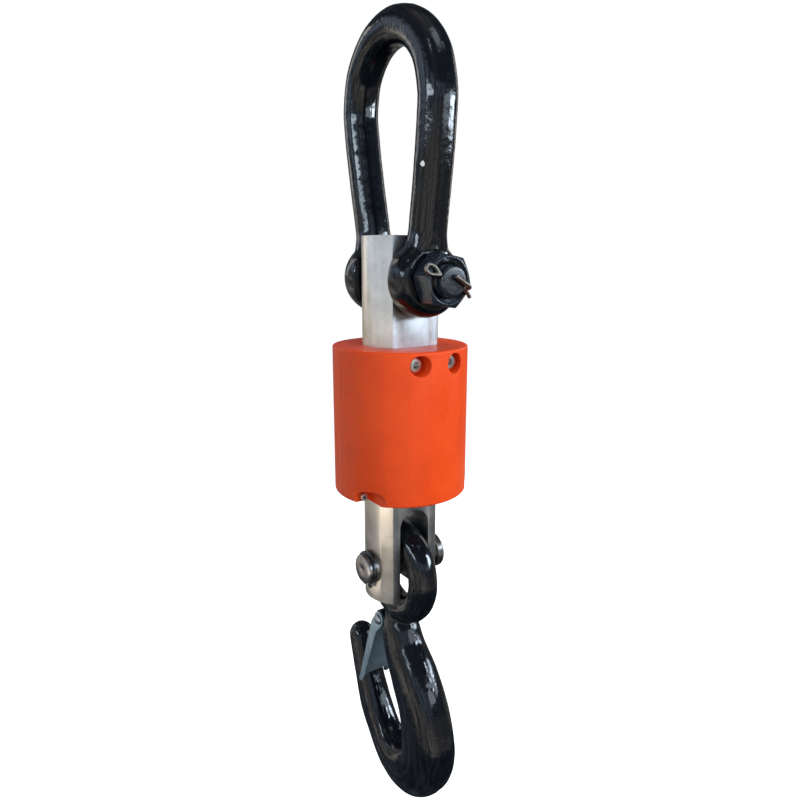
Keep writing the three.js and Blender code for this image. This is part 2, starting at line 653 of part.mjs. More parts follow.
// What both shells share: a half drum with a wall, end walls fitted to the cell, seal grooves and upper bosses.
function plainShell(side) {
  const outside = housingOutside();
  const cavity = solid(rod("Z", cavityRadius, housingBottom + END_WALL, housingTop - END_WALL, 32));
  const cellRoom = solid(cellPrism(0.4, housingBottom - 5, housingTop + 5));
  let shell = outside.subtract(cavity);
  for (const y of [-UPPER_SCREW_Y, UPPER_SCREW_Y]) {
    const boss = rod("X", UPPER_BOSS_RADIUS, CELL_HALF_THICKNESS + GAP, HOUSING_RADIUS, 16);
    shell = shell.add(facing(side, solid(boss.translate(0, y, UPPER_SCREW_Z))).intersect(outside));
  }
  for (const y of [-LOWER_SCREW.y, LOWER_SCREW.y]) {
    const boss = rod("X", LOWER_RECESS_RADIUS + 2.2, 0, 34, 16).translate(0, y, LOWER_SCREW.z);
    shell = shell.add(facing(side, solid(boss)).intersect(outside));
  }
  shell = shell.subtract(cellRoom);
  for (const y of [-UPPER_SCREW_Y, UPPER_SCREW_Y]) {
    const recess = rod("X", RECESS_RADIUS, UPPER_SEAT_X, 60, 16).translate(0, y, UPPER_SCREW_Z);
    const hole = rod("X", UPPER_SCREW_RADIUS + GAP, 10, 40, 10).translate(0, y, UPPER_SCREW_Z);
    shell = cutBy(shell, facing(side, solid(recess)), facing(side, solid(hole)));
  }
  for (const from of sealLevels()) {
    shell = shell.subtract(solid(cellPrism(SEAL_WIDTH + 2 * GAP, from - GAP, from + SEAL_THICKNESS + GAP)));
  }
  const half = solid(box([SPLIT_GAP, 60], [-60, 60], [housingBottom - 5, housingTop + 5]));
  return shell.intersect(facing(side, half));
}

// Lower faces of the two seals.
function sealLevels() {
  return [housingBottom + SEAL_INSET, housingTop - SEAL_INSET - SEAL_THICKNESS];
}

function frontShell() {
  let shell = plainShell(SIDES.front);
  for (const y of [-LOWER_SCREW.y, LOWER_SCREW.y]) {
    const recess = rod("X", LOWER_RECESS_RADIUS, LOWER_SEAT_X, 60, 16).translate(0, y, LOWER_SCREW.z);
    const hole = rod("X", LOWER_SCREW.radius + GAP, -5, 20, 10).translate(0, y, LOWER_SCREW.z);
    shell = cutBy(shell, solid(recess), solid(hole));
  }
  for (const [y, z] of boardScrewPlaces()) {
    const post = rod("X", 3, BOARD_X + BOARD_THICKNESS + GAP, 38, 10).translate(0, y, z);
    const hole = rod("X", 1.3, BOARD_X, 35.2, 8).translate(0, y, z);
    shell = shell.add(solid(post)).subtract(solid(hole));
  }
  return meshOf("front_shell", shell, orangePlastic());
}

function rearShell() {
  let shell = plainShell(SIDES.rear);
  for (const y of [-LOWER_SCREW.y, LOWER_SCREW.y]) {
    const insertHole = rod("X", INSERT_RADIUS + GAP, -INSERT_LENGTH - 2 * GAP, 5, 10);
    const screwHole = rod("X", LOWER_SCREW.radius + GAP, -12, 5, 10);
    for (const hole of [insertHole, screwHole]) {
      shell = shell.subtract(solid(hole.translate(0, y, LOWER_SCREW.z)));
    }
  }
  // Two ribs hold the switch behind the button.
  for (const y of [-7.25, 7.25]) {
    shell = shell.add(solid(box([-42.5, -35.5], [y - 0.75, y + 0.75], [BUTTON_Z - 4, BUTTON_Z + 4])));
  }
  const buttonTools = [
    rod("X", BUTTON_RADIUS + 3.1, -50, -HOUSING_RADIUS + 1.3, 18),
    rod("X", BUTTON_RADIUS + 0.4, -50, -39.9, 18),
    rod("X", BUTTON_RADIUS + 2, -HOUSING_RADIUS + WALL + 0.8, -38.4, 18),
  ].map((tool) => solid(tool.translate(0, 0, BUTTON_Z)));
  const lampTools = [
    rod("X", LAMP_RADIUS + GAP, -50, -37, 12),
    rod("X", LAMP_RADIUS + 1.2, -41.4, -36, 12),
  ].map((tool) => solid(tool.translate(0, 0, LAMP_Z)));
  const socketTools = [
    rod("X", 8.5, HOUSING_RADIUS - 1.5, 50, 18),
    rod("X", CHARGE_BARREL_RADIUS + GAP, 35, 50, 16),
  ].map((tool) => atCharge(solid(tool)));
  return meshOf("rear_shell", cutBy(shell, ...buttonTools, ...lampTools, ...socketTools), orangePlastic());
}

// A piece drawn along +X at zero height, turned to the charging socket's place.
const atCharge = (shape) => shape.rotate([0, 0, CHARGE_AZIMUTH]).translate([0, 0, CHARGE_Z]);

function seals() {
  const names = ["bottom_seal", "top_seal"];
  return sealLevels().map((from, i) => {
    const outer = solid(cellPrism(SEAL_WIDTH, from, from + SEAL_THICKNESS));
    const inner = solid(cellPrism(GAP, from - 1, from + SEAL_THICKNESS + 1));
    return meshOf(names[i], outer.subtract(inner), blackRubber());
  });
}

// A socket head cap screw along X whose head rests on the seat, reaching towards the parting plane.
function socketScrew(name, radius, seat, tip, place, side, material) {
  const headRadius = radius * 1.7;
  const headHeight = radius * 2;
  const profile = [
    [0, tip],
    [radius - 0.4, tip],
    [radius, tip + 0.6],
    [radius, seat],
    [headRadius, seat],
    [headRadius, seat + headHeight - 0.4],
    [headRadius - 0.4, seat + headHeight],
    [0, seat + headHeight],
  ];
  const socket = hexBar(radius * 1.55, seat + headHeight * 0.4, seat + headHeight + 1);
  const screw = solid(turned("X", profile, 12)).subtract(solid(socket));
  return meshOf(name, facing(side, screw).translate(place), material);
}

function housingScrews() {
  const meshes = [];
  for (const [sideName, side] of Object.entries(SIDES)) {
    for (const [handName, hand] of Object.entries(HANDS)) {
      const name = "housing_screw_" + sideName + "_" + handName;
      const place = [0, hand * UPPER_SCREW_Y, UPPER_SCREW_Z];
      const tip = CELL_HALF_THICKNESS - 7.5;
      meshes.push(socketScrew(name, UPPER_SCREW_RADIUS, UPPER_SEAT_X + GAP, tip, place, side, stainless()));
    }
  }
  return meshes;
}

function jointScrewsAndInserts() {
  const meshes = [];
  for (const [handName, hand] of Object.entries(HANDS)) {
    const place = [0, hand * LOWER_SCREW.y, LOWER_SCREW.z];
    const name = "joint_screw_" + handName;
    meshes.push(socketScrew(name, LOWER_SCREW.radius, LOWER_SEAT_X + GAP, -9, place, 1, stainless()));
    const insert = ring("X", LOWER_SCREW.radius + GAP, INSERT_RADIUS, -INSERT_LENGTH - GAP, -2 * GAP, 10);
    meshes.push(meshOf("joint_insert_" + handName, solid(insert).translate(place), brass()));
  }
  return meshes;
}

// ---------------------------------------------------------------------------
// Transmitter board and what is on it, behind the front shell
// ---------------------------------------------------------------------------

function boardScrewPlaces() {
  return BOARD_SCREW_Z.flatMap((z) => [-BOARD_SCREW_Y, BOARD_SCREW_Y].map((y) => [y, z]));
}

function transmitterBoard() {
  const plate = box([BOARD_X, BOARD_X + BOARD_THICKNESS], [-BOARD_HALF_WIDTH, BOARD_HALF_WIDTH], BOARD_Z);
  const holes = boardScrewPlaces().map(([y, z]) => solid(rod("X", 1.4, 20, 35, 8).translate(0, y, z)));
  return meshOf("transmitter_board", cutBy(solid(plate), ...holes), circuitBoard());
}

function boardScrews() {
  return boardScrewPlaces().map(([y, z], i) => {
    const head = BOARD_X - GAP;
    const profile = [
      [0, head - 1.7],
      [1.6, head - 1.7],
      [2.3, head - 1],
      [2.3, head],
      [1, head],
      [1, head + 6.8],
      [0, head + 6.8],
    ];
    return meshOf("board_screw_" + (i + 1), turned("X", profile, 8).translate(0, y, z), zincSteel());
  });
}

function boardParts() {
  const outer = BOARD_X + BOARD_THICKNESS + GAP; // the side towards the housing's wall
  const inner = BOARD_X - GAP; // the side towards the load cell
  const top = BOARD_Z[1];
  const shield = box([outer, outer + 3], [-12, 12], [top - 27, top - 7]);
  const chip = box([outer, outer + 1.5], [-16, -4], [top - 45, top - 33]);
  const whipProfile = [
    [0, top - 58],
    [2.6, top - 58],
    [2.6, top - 32],
    [1.8, top - 30.5],
    [0, top - 30],
  ];
  const whip = turned("Z", whipProfile, 12);
  const leadPlug = box([inner - 4.2, inner], [-4, 4], [top - 44, top - 37.6]);
  const batteryPlug = box([inner - 4.2, inner], [12, 20], [top - 31, top - 24]);
  return [
    meshOf("radio_module", shield, stainless()),
    meshOf("scale_processor", chip, blackPlastic()),
    meshOf("antenna", whip.translate(outer + 3.4, 8, 0), blackRubber()),
    meshOf("gauge_lead_plug", leadPlug, blackPlastic()),
    meshOf("battery_lead_plug", batteryPlug, blackPlastic()),
  ];
}

// The lead from the front gauge cover down to its plug on the board.
function gaugeLead() {
  const route = [
    [CELL_HALF_THICKNESS - 2, housingMiddle],
    [20.6, housingMiddle - 0.6],
    [23.6, housingMiddle - 4],
    [BOARD_X - GAP - 2.1, BOARD_Z[1] - 37.2],
  ].map(([x, z]) => new THREE.Vector3(x, 0, z));
  return meshOf("gauge_lead", bentBar(route, LEAD_RADIUS, 4, 8), blackRubber());
}

// ---------------------------------------------------------------------------
// Battery, behind the rear shell
// ---------------------------------------------------------------------------

const BATTERY_X = -30;
const BATTERY_Y = 9.8;
const BATTERY_RADIUS = 9.2;
const BATTERY_BOTTOM = housingBottom + END_WALL + 2.4;
const BATTERY_LENGTH = 65;

function batteryCells() {
  return Object.entries(HANDS).map(([handName, hand]) => {
    const top = BATTERY_BOTTOM + BATTERY_LENGTH;
    const profile = [
      [0, BATTERY_BOTTOM],
      [BATTERY_RADIUS, BATTERY_BOTTOM],
      [BATTERY_RADIUS, top - 1.5],
      [3, top - 1.5],
      [3, top],
      [0, top],
    ];
    const cell = turned("Z", profile, 16).translate(BATTERY_X, hand * BATTERY_Y, 0);
    return meshOf("battery_cell_" + handName, cell, cellWrap());
  });
}

function batteryHolder() {
  const halfWidth = BATTERY_Y + BATTERY_RADIUS + 1;
  const back = [-CELL_HALF_THICKNESS - 2.3, -CELL_HALF_THICKNESS - 0.8];
  const bottom = BATTERY_BOTTOM - 1.8;
  const top = BATTERY_BOTTOM + BATTERY_LENGTH + 1.8;
  const plate = box(back, [-halfWidth, halfWidth], [bottom, top]);
  const foot = box([-34, back[1]], [-halfWidth, halfWidth], [bottom, bottom + 1.5]);
  const head = box([-34, back[1]], [-halfWidth, halfWidth], [top - 1.5, top]);
  return meshOf("battery_holder", joined(...[plate, foot, head].map(solid)), blackPlastic());
}

// The battery's lead runs round the load cell to the board.
function batteryLead() {
  const rearZ = BATTERY_BOTTOM + 20;
  const plugZ = BOARD_Z[1] - 27.5;
  const route = [
    [-24.6, BATTERY_Y + BATTERY_RADIUS + 2, rearZ],
    [-19, 29, rearZ],
    [-8, 33, rearZ + 3],
    [8, 33.3, rearZ + 12],
    [18.5, 29.8, plugZ - 2],
    [24.4, 25.2, plugZ],
    [24.6, 20.3, plugZ],
  ].map(([x, y, z]) => new THREE.Vector3(x, y, z));
  return meshOf("battery_lead", bentBar(route, 1.5, 4, 20), blackRubber());
}

// ---------------------------------------------------------------------------
// Power button, status lamp and charging socket on the rear shell
// ---------------------------------------------------------------------------

function powerButton() {
  const face = -HOUSING_RADIUS - 1.4;
  const profile = [
    [0, face],
    [BUTTON_RADIUS - 0.6, face],
    [BUTTON_RADIUS, face + 0.6],
    [BUTTON_RADIUS, -40.8],
    [BUTTON_RADIUS + 1.2, -40.8],
    [BUTTON_RADIUS + 1.2, -40],
    [0, -40],
  ];
  return meshOf("power_button", turned("X", profile, 16).translate(0, 0, BUTTON_Z), blackRubber());
}

function buttonBezel() {
  const seat = -HOUSING_RADIUS + 1.3 - GAP;
  const band = ring("X", BUTTON_RADIUS + 0.4, BUTTON_RADIUS + 2.7, seat - 1.5, seat, 18);
  return meshOf("button_bezel", band.translate(0, 0, BUTTON_Z), stainless());
}

function powerSwitch() {
  const body = box([-38.7, -35.6], [-6.2, 6.2], [BUTTON_Z - 4, BUTTON_Z + 4]);
  return meshOf("power_switch", body, blackPlastic());
}

function statusLamp() {
  const face = -HOUSING_RADIUS - 0.7;
  const profile = [
    [0, face],
    [LAMP_RADIUS * 0.7, face + 0.4],
    [LAMP_RADIUS, face + 1.4],
    [LAMP_RADIUS, -41.1],
    [LAMP_RADIUS + 0.8, -41.1],
    [LAMP_RADIUS + 0.8, -38.5],
    [0, -38.5],
  ];
  return meshOf("status_lamp", turned("X", profile, 12).translate(0, 0, LAMP_Z), lampLens());
}

function chargeSocket() {
  const seat = HOUSING_RADIUS - 1.5 + GAP;
  const profile = [
    [0, 31],
    [CHARGE_BARREL_RADIUS, 31],
    [CHARGE_BARREL_RADIUS, seat],
    [7.6, seat],
    [7.6, seat + 1.2],
    [2.9, seat + 1.2],
    [2.9, 33],
    [1, 33],
    [1, seat - 1.5],
    [0, seat - 1],
  ];
  return meshOf("charge_socket", atCharge(solid(turned("X", profile, 16))), blackPlastic());
}

function chargeSocketNut() {
  const bore = rod("X", CHARGE_BARREL_RADIUS + GAP, 30, 50, 16);
  const body = solid(hexBar(14.4, 37.9, 40.1)).subtract(solid(bore));
  return meshOf("charge_socket_nut", atCharge(body), stainless());
}

// A soft cap whose hollow plug goes into the socket, round its centre contact.
function chargeCap() {
  const face = HOUSING_RADIUS - 1.5 + 1.2 + 2 * GAP;
  const profile = [
    [1.4, 38],
    [2.5, 38],
    [2.5, face],
    [7.4, face],
    [7.4, face + 1.2],
    [6, face + 2.2],
    [0, face + 2.2],
    [0, face],
    [1.4, face],
    [1.4, 38],
  ];
  return meshOf("charge_cap", atCharge(solid(turned("X", profile, 16))), blackRubber());
}

// ---------------------------------------------------------------------------
// Assembly
// ---------------------------------------------------------------------------

const scale = new THREE.Group();
scale.name = "crane_scale";

const boltLevel = new THREE.Group();
boltLevel.position.z = boltZ;
boltLevel.add(shackleBolt(), shackleNut(), splitPin());

scale.add(meshOf("shackle_bow", shackleBow(), blackPaint()), boltLevel);
scale.add(loadCellBody(), ...strainGauges(), ...gaugeCovers(), gaugeLead());
scale.add(hookPin(), circlip(), hook(), hookLatch(), latchPin(), latchSpring());
scale.add(frontShell(), rearShell(), ...seals(), ...housingScrews(), ...jointScrewsAndInserts());
scale.add(transmitterBoard(), ...boardScrews(), ...boardParts());
scale.add(batteryHolder(), ...batteryCells(), batteryLead());
scale.add(powerButton(), buttonBezel(), powerSwitch(), statusLamp());
scale.add(chargeSocket(), chargeSocketNut(), chargeCap());

export default scale;
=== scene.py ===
"""Looks for a hanging crane scale: bow shackle, load cell in an orange drum, eye hook with a latch.

Shapes are drawn in millimetres in the part's own frame and scaled to metres when a mesh is made.
+Z is up, X is the shackle bolt's axis and Y the hook pin's. The origin is inside the bow's crown.
"""

import math

import bmesh
import bpy
from mathutils import Matrix, Vector, noise


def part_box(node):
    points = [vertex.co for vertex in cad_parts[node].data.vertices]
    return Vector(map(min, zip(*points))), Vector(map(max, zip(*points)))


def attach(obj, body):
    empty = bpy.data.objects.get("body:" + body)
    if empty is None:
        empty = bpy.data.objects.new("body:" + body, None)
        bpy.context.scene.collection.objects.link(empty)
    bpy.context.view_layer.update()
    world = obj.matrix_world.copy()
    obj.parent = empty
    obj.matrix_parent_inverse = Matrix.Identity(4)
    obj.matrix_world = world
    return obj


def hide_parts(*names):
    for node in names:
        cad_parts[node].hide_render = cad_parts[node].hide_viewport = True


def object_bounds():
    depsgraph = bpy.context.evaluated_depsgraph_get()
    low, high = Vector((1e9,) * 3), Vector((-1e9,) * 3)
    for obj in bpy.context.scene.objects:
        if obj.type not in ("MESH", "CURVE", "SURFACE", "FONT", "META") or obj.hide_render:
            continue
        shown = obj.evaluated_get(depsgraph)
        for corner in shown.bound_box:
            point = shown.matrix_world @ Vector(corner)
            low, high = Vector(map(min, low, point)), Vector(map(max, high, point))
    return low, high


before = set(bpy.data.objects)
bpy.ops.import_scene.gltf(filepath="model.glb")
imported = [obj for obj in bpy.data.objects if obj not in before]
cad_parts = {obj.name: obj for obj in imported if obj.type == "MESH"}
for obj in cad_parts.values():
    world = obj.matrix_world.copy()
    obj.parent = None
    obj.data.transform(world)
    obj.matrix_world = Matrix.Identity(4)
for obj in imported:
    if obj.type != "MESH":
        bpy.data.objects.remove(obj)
cad_low, cad_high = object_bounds()

MM = 0.001
CLEAR = 60  # far enough from the axis for a cutting tool to run right out of an ear or a shell
SIDES = {"front": 1, "rear": -1}
HANDS = {"left": -1, "right": 1}


def box_mm(node):
    """Lowest and highest corner of a CAD node, in millimetres."""
    low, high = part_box(node)
    return Vector(low) / MM, Vector(high) / MM


BOLT_BELOW_TOP = 27
SLOT_DEPTH = 65
PIN_BORE_RADIUS = 10.3
EYE_RADIUS = 28.5
EYE_BAR = 10

# Levels and sizes that the CAD model gives.
pin_low, pin_high = box_mm("hook_pin")
pin_z = (pin_low.z + pin_high.z) / 2
cell_low, cell_high = box_mm("load_cell_body")
shell_low, shell_high = box_mm("front_shell")
cell_radius = cell_high.y
cell_flat_x = cell_high.x
drum_radius = shell_high.y
bolt_z = cell_high.z - BOLT_BELOW_TOP
slot_top = cell_low.z + SLOT_DEPTH
eye_z = pin_z + PIN_BORE_RADIUS - (EYE_RADIUS - EYE_BAR)

# ---- Mesh tools ----


def mesh_object(name, vertices, faces):
    """A new object from millimetre vertices."""
    mesh = bpy.data.meshes.new(name)
    mesh.from_pydata([Vector(v) * MM for v in vertices], [], faces)
    mesh.validate()
    made = bpy.data.objects.new(name, mesh)
    bpy.context.scene.collection.objects.link(made)
    face_outwards(made)
    return made


def face_outwards(made):
    """Merges doubled points and turns every face outwards."""
    work = bmesh.new()
    work.from_mesh(made.data)
    bmesh.ops.remove_doubles(work, verts=work.verts, dist=1e-7)
    bmesh.ops.recalc_face_normals(work, faces=work.faces)
    work.to_mesh(made.data)
    work.free()


def loft(name, rings, closed=False):
    """A skin over rings of equally many points. Unless it is closed on itself, both ends get a cap."""
    count = len(rings[0])
    vertices = [point for ring in rings for point in ring]
    faces = []
    last = len(rings) if closed else len(rings) - 1
    for row in range(last):
        here = row * count
        there = ((row + 1) % len(rings)) * count
        for i in range(count):
            j = (i + 1) % count
            faces.append((here + i, here + j, there + j, there + i))
    if not closed:
        faces.append(tuple(range(count)))
        faces.append(tuple((len(rings) - 1) * count + i for i in range(count)))
    return mesh_object(name, vertices, faces)


AXIS_POINT = {
    "X": lambda r, along, a: (along, r * math.cos(a), r * math.sin(a)),
    "Y": lambda r, along, a: (r * math.sin(a), along, r * math.cos(a)),
    "Z": lambda r, along, a: (r * math.cos(a), r * math.sin(a), along),
}


def revolve(name, axis, profile, place=(0, 0, 0), segments=64, closed=False):
    """A turned body. The profile is [(radius, distance along the axis)], from one end to the other."""
    put = Vector(place)
    rings = []
    for radius, along in profile:
        angles = [2 * math.pi * i / segments for i in range(segments)]
        rings.append([put + Vector(AXIS_POINT[axis](radius, along, a)) for a in angles])
    return loft(name, rings, closed)


def rod(name, axis, radius, low, high, place=(0, 0, 0), segments=64):
    """A round rod, which is also the tool for a bore."""
    return revolve(name, axis, [(radius, low), (radius, high)], place, segments)


def rounded(profile, radius, steps=4):
    """The profile with its inner corners rounded by curves that leave both sides smoothly."""
    points = [Vector(p) for p in profile]
    result = [tuple(points[0])]
    for before, here, after in zip(points, points[1:], points[2:]):
        reach = min(radius, (here - before).length * 0.45, (after - here).length * 0.45)
        start = here + (before - here).normalized() * reach
        end = here + (after - here).normalized() * reach
        for step in range(steps + 1):
            t = step / steps
            result.append(tuple(start * (1 - t) ** 2 + here * (2 * t * (1 - t)) + end * t ** 2))
    result.append(tuple(points[-1]))
    return result


OUTLINE_POINT = {
    "X": lambda u, v, along: (along, u, v),
    "Y": lambda u, v, along: (u, along, v),
    "Z": lambda u, v, along: (u, v, along),
}


def prism(name, outline, axis, low, high):
    """A straight body. Its outline lies in the other two axes, in their order: (Y, Z) for X."""
    put = OUTLINE_POINT[axis]
    return loft(name, [[put(u, v, along) for u, v in outline] for along in (low, high)])


def block(name, low, high):
    corners = [(low[0], low[1]), (high[0], low[1]), (high[0], high[1]), (low[0], high[1])]
    return prism(name, corners, "Z", low[2], high[2])


def arc(centre, radius, start, end, steps):
    """Points on an arc, from one angle to another in degrees."""
    angles = [math.radians(start + (end - start) * i / steps) for i in range(steps + 1)]
    return [(centre[0] + radius * math.cos(a), centre[1] + radius * math.sin(a)) for a in angles]


def hexagon(across_flats):
    """Corners of a hexagon, the first one straight up."""
    corner = across_flats / math.sqrt(3)
    angles = [math.radians(90 + 60 * i) for i in range(6)]
    return [(corner * math.cos(a), corner * math.sin(a)) for a in angles]


def smooth_path(points, count):
    """Points spaced along a centripetal Catmull-Rom spline through the given ones, of any dimension."""
    knots = [Vector(p) for p in points]
    knots = [knots[0] * 2 - knots[1], *knots, knots[-1] * 2 - knots[-2]]
    spans = len(knots) - 3
    result = []
    for i in range(count):
        along = i * spans / (count - 1)
        span = min(int(along), spans - 1)
        p0, p1, p2, p3 = knots[span : span + 4]
        t0 = 0.0
        t1 = t0 + (p1 - p0).length ** 0.5
        t2 = t1 + (p2 - p1).length ** 0.5
        t3 = t2 + (p3 - p2).length ** 0.5
        t = t1 + (t2 - t1) * (along - span)
        a1 = p0 * ((t1 - t) / (t1 - t0)) + p1 * ((t - t0) / (t1 - t0))
        a2 = p1 * ((t2 - t) / (t2 - t1)) + p2 * ((t - t1) / (t2 - t1))
        a3 = p2 * ((t3 - t) / (t3 - t2)) + p3 * ((t - t2) / (t3 - t2))
        b1 = a1 * ((t2 - t) / (t2 - t0)) + a2 * ((t - t0) / (t2 - t0))
        b2 = a2 * ((t3 - t) / (t3 - t1)) + a3 * ((t - t1) / (t3 - t1))
        result.append(b1 * ((t2 - t) / (t2 - t1)) + b2 * ((t - t1) / (t2 - t1)))
    return result


def direction(path, i):
    """The path's direction at a point, from its two neighbours."""
    return (path[min(i + 1, len(path) - 1)] - path[max(i - 1, 0)]).normalized()


def squared(angle, power):
    """How far a unit circle reaches at this angle once it is squared: a power of 2 leaves it round."""
    return 1 / (abs(math.cos(angle)) ** power + abs(math.sin(angle)) ** power) ** (1 / power)


def wire(name, points, radius, sides):
    """A bar of round section along points, with no twist."""
    path = [Vector(p) for p in points]
    rings = []
    up = Vector((0, 0, 1))
    for i, here in enumerate(path):
        along = direction(path, i)
        if abs(along.dot(up)) > 0.95:
            up = Vector((0, 1, 0)) if abs(along.y) < 0.9 else Vector((1, 0, 0))
        side = along.cross(up).normalized()
        up = side.cross(along).normalized()
        ring = []
        for k in range(sides):
            a = 2 * math.pi * k / sides
            ring.append(here + side * (radius * math.cos(a)) + up * (radius * math.sin(a)))
        rings.append(ring)
    return loft(name, rings)


def lift(made, x, z):
    """Moves a mesh along X and Z, in millimetres."""
    made.data.transform(Matrix.Translation((x * MM, 0, z * MM)))


def settle(made):
    """Replaces the object's mesh by what its modifiers make of it."""
    evaluated = made.evaluated_get(bpy.context.evaluated_depsgraph_get())
    mesh = bpy.data.meshes.new_from_object(evaluated)
    made.modifiers.clear()
    old = made.data
    made.data = mesh
    bpy.data.meshes.remove(old)


def combine(made, others, operation):
    """A boolean with other objects, which are used up."""
    for other in others:
        step = made.modifiers.new("combine", "BOOLEAN")
        step.operation = operation
        step.solver = "EXACT"
        step.object = other
    settle(made)
    for other in others:
        bpy.data.objects.remove(other)
    return made


def cut(made, *tools):
    return combine(made, tools, "DIFFERENCE")


def join(made, *others):
    return combine(made, others, "UNION")


def common(made, *others):
    return combine(made, others, "INTERSECT")


def soften_edges(made, width, steps, angle):
    """Rounds the edges that are sharper than the angle."""
    step = made.modifiers.new("soften", "BEVEL")
    step.width = width * MM
    step.segments = steps
    step.limit_method = "ANGLE"
    step.angle_limit = math.radians(angle)
    step.use_clamp_overlap = True
    step.miter_outer = "MITER_ARC"
    settle(made)


def shade(made, angle):
    """Smooth, apart from the edges that are sharper than the angle."""
    for face in made.data.polygons:
        face.use_smooth = True
    made.data.set_sharp_from_angle(angle=math.radians(angle))


def forge(made, voxel, passes):
    """Fuses overlapping shells into one skin and rounds where they meet, as a forging's fillets do."""
    fuse = made.modifiers.new("fuse", "REMESH")
    fuse.mode = "VOXEL"
    fuse.voxel_size = voxel * MM
    relax = made.modifiers.new("relax", "SMOOTH")
    relax.factor = 0.5
    relax.iterations = passes
    settle(made)


def gathered(name, *parts):
    """Several objects' meshes in one object, not yet fused."""
    work = bmesh.new()
    for part in parts:
        work.from_mesh(part.data)
        bpy.data.objects.remove(part)
    mesh = bpy.data.meshes.new(name)
    work.to_mesh(mesh)
    work.free()
    made = bpy.data.objects.new(name, mesh)
    bpy.context.scene.collection.objects.link(made)
    return made


def forged_skin(made, ridge_height, ridge_half, wave):
    """Adds the parting line's ridge round the middle plane, and the slight waviness of a forging."""
    vertices = made.data.vertices
    shift = []
    for vertex in vertices:
        place = vertex.co / MM
        normal = vertex.normal
        move = wave * noise.noise(place * 0.09) + 0.4 * wave * noise.noise(place * 0.31)
        near = 1 - abs(place.y) / ridge_half
        if near > 0 and abs(normal.y) < 0.6:
            broken = 0.55 + 0.9 * noise.noise(place * 0.22)
            move += ridge_height * broken * math.sin(near * math.pi / 2) ** 2
        shift.append(normal * (move * MM))
    for vertex, move in zip(vertices, shift):
        vertex.co += move
    made.data.update()


def place(made, body, slot, material, node, angle=32):
    """Shades a piece, gives it its material, and puts it on its body in place of a CAD node."""
    shade(made, angle)
    made.data.materials.clear()
    made.data.materials.append(material)
    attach(made, body)
    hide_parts(node)


# ---- Materials ----


class Nodes:
    """A node tree, with short ways to add to it. A value is a number, a tuple or a node's socket."""

    def __init__(self, tree, where):
        self.tree = tree
        self.where = tree.nodes.new("ShaderNodeTexCoord").outputs[where]

    def put(self, socket, value):
        if isinstance(value, bpy.types.NodeSocket):
            self.tree.links.new(value, socket)
        elif socket.type == "RGBA":
            socket.default_value = (*value, 1)
        else:
            socket.default_value = value

    def add(self, kind, **inputs):
        node = self.tree.nodes.new("ShaderNode" + kind)
        for name, value in inputs.items():
            self.put(node.inputs[name.replace("_", " ")], value)
        return node

    def ramp(self, source, low, high, start=0.0, end=1.0, easing="LINEAR"):
        """Maps the source's range to another one, held at its ends."""
        node = self.add("MapRange", Value=source, From_Min=low, From_Max=high, To_Min=start, To_Max=end)
        node.interpolation_type = easing
        return node.outputs["Result"]

    def maths(self, operation, a, b, kind="Math"):
        node = self.add(kind)
        node.operation = operation
        self.put(node.inputs[0], a)
        self.put(node.inputs[1], b)
        return node.outputs["Value"]

    def mixed(self, amount, first, second):
        """A colour between two."""
        node = self.add("Mix")
        node.data_type = "RGBA"
        self.put(node.inputs["Factor"], amount)
        self.put(node.inputs[6], first)
        self.put(node.inputs[7], second)
        return node.outputs[2]


class Paint(Nodes):
    """One procedural material on object coordinates, with its sizes in millimetres."""

    def __init__(self, name, **settings):
        self.material = bpy.data.materials.new(name)
        self.material.use_nodes = True
        super().__init__(self.material.node_tree, "Object")
        self.shader = self.tree.nodes["Principled BSDF"]
        self.normal = None
        self.set(**settings)

    def set(self, **settings):
        """Gives the shader's own sockets their values or links."""
        for name, value in settings.items():
            self.put(self.shader.inputs[name.replace("_", " ")], value)

    def noise(self, size, detail=3.0, rough=0.55, stretch=None):
        """Noise whose features are about that many millimetres across."""
        where = self.where
        if stretch:
            where = self.add("Mapping", Vector=where, Scale=stretch).outputs["Vector"]
        node = self.add("TexNoise", Vector=where, Scale=1 / (size * MM), Detail=detail, Roughness=rough)
        return node.outputs["Fac"]

    def cells(self, size):
        return self.add("TexVoronoi", Vector=self.where, Scale=1 / (size * MM)).outputs["Distance"]

    def colour(self, source):
        self.set(Base_Color=source)

    def roughness(self, source):
        self.set(Roughness=source)

    def bump(self, height, depth, coat=False):
        """Adds relief of that many millimetres on top of what is there."""
        node = self.add("Bump", Height=height, Distance=depth * MM)
        if self.normal is not None:
            self.put(node.inputs["Normal"], self.normal)
        self.normal = node.outputs["Normal"]
        self.set(Normal=self.normal)
        if coat:
            self.set(Coat_Normal=self.normal)

    def near(self, spot, radius):
        """One close to a point in millimetres, nought beyond the radius."""
        away = self.maths("DISTANCE", self.where, Vector(spot) * MM, "VectorMath")
        return self.ramp(away, radius * MM, radius * MM * 0.6)

    def bevelled(self, radius, samples):
        node = self.add("Bevel", Radius=radius * MM)
        node.samples = samples
        return node.outputs["Normal"]

    def round_edges(self, radius):
        """Makes the light treat sharp edges as slightly rounded ones."""
        self.normal = self.bevelled(radius, 6)

    def edges(self, radius):
        """One on sharp edges, by comparing the bevelled normal with the true one."""
        true = self.add("NewGeometry").outputs["Normal"]
        likeness = self.maths("DOT_PRODUCT", self.bevelled(radius, 4), true, "VectorMath")
        return self.ramp(likeness, 0.98, 0.75)

    def hollows(self, reach):
        """How much the surfaces round a spot shade it: one in hollows narrower than about that many
        millimetres, nought in the open.
        """
        node = self.add("AmbientOcclusion", Distance=reach * MM)
        node.samples = 8
        return self.ramp(node.outputs["AO"], 0.75, 0.25)


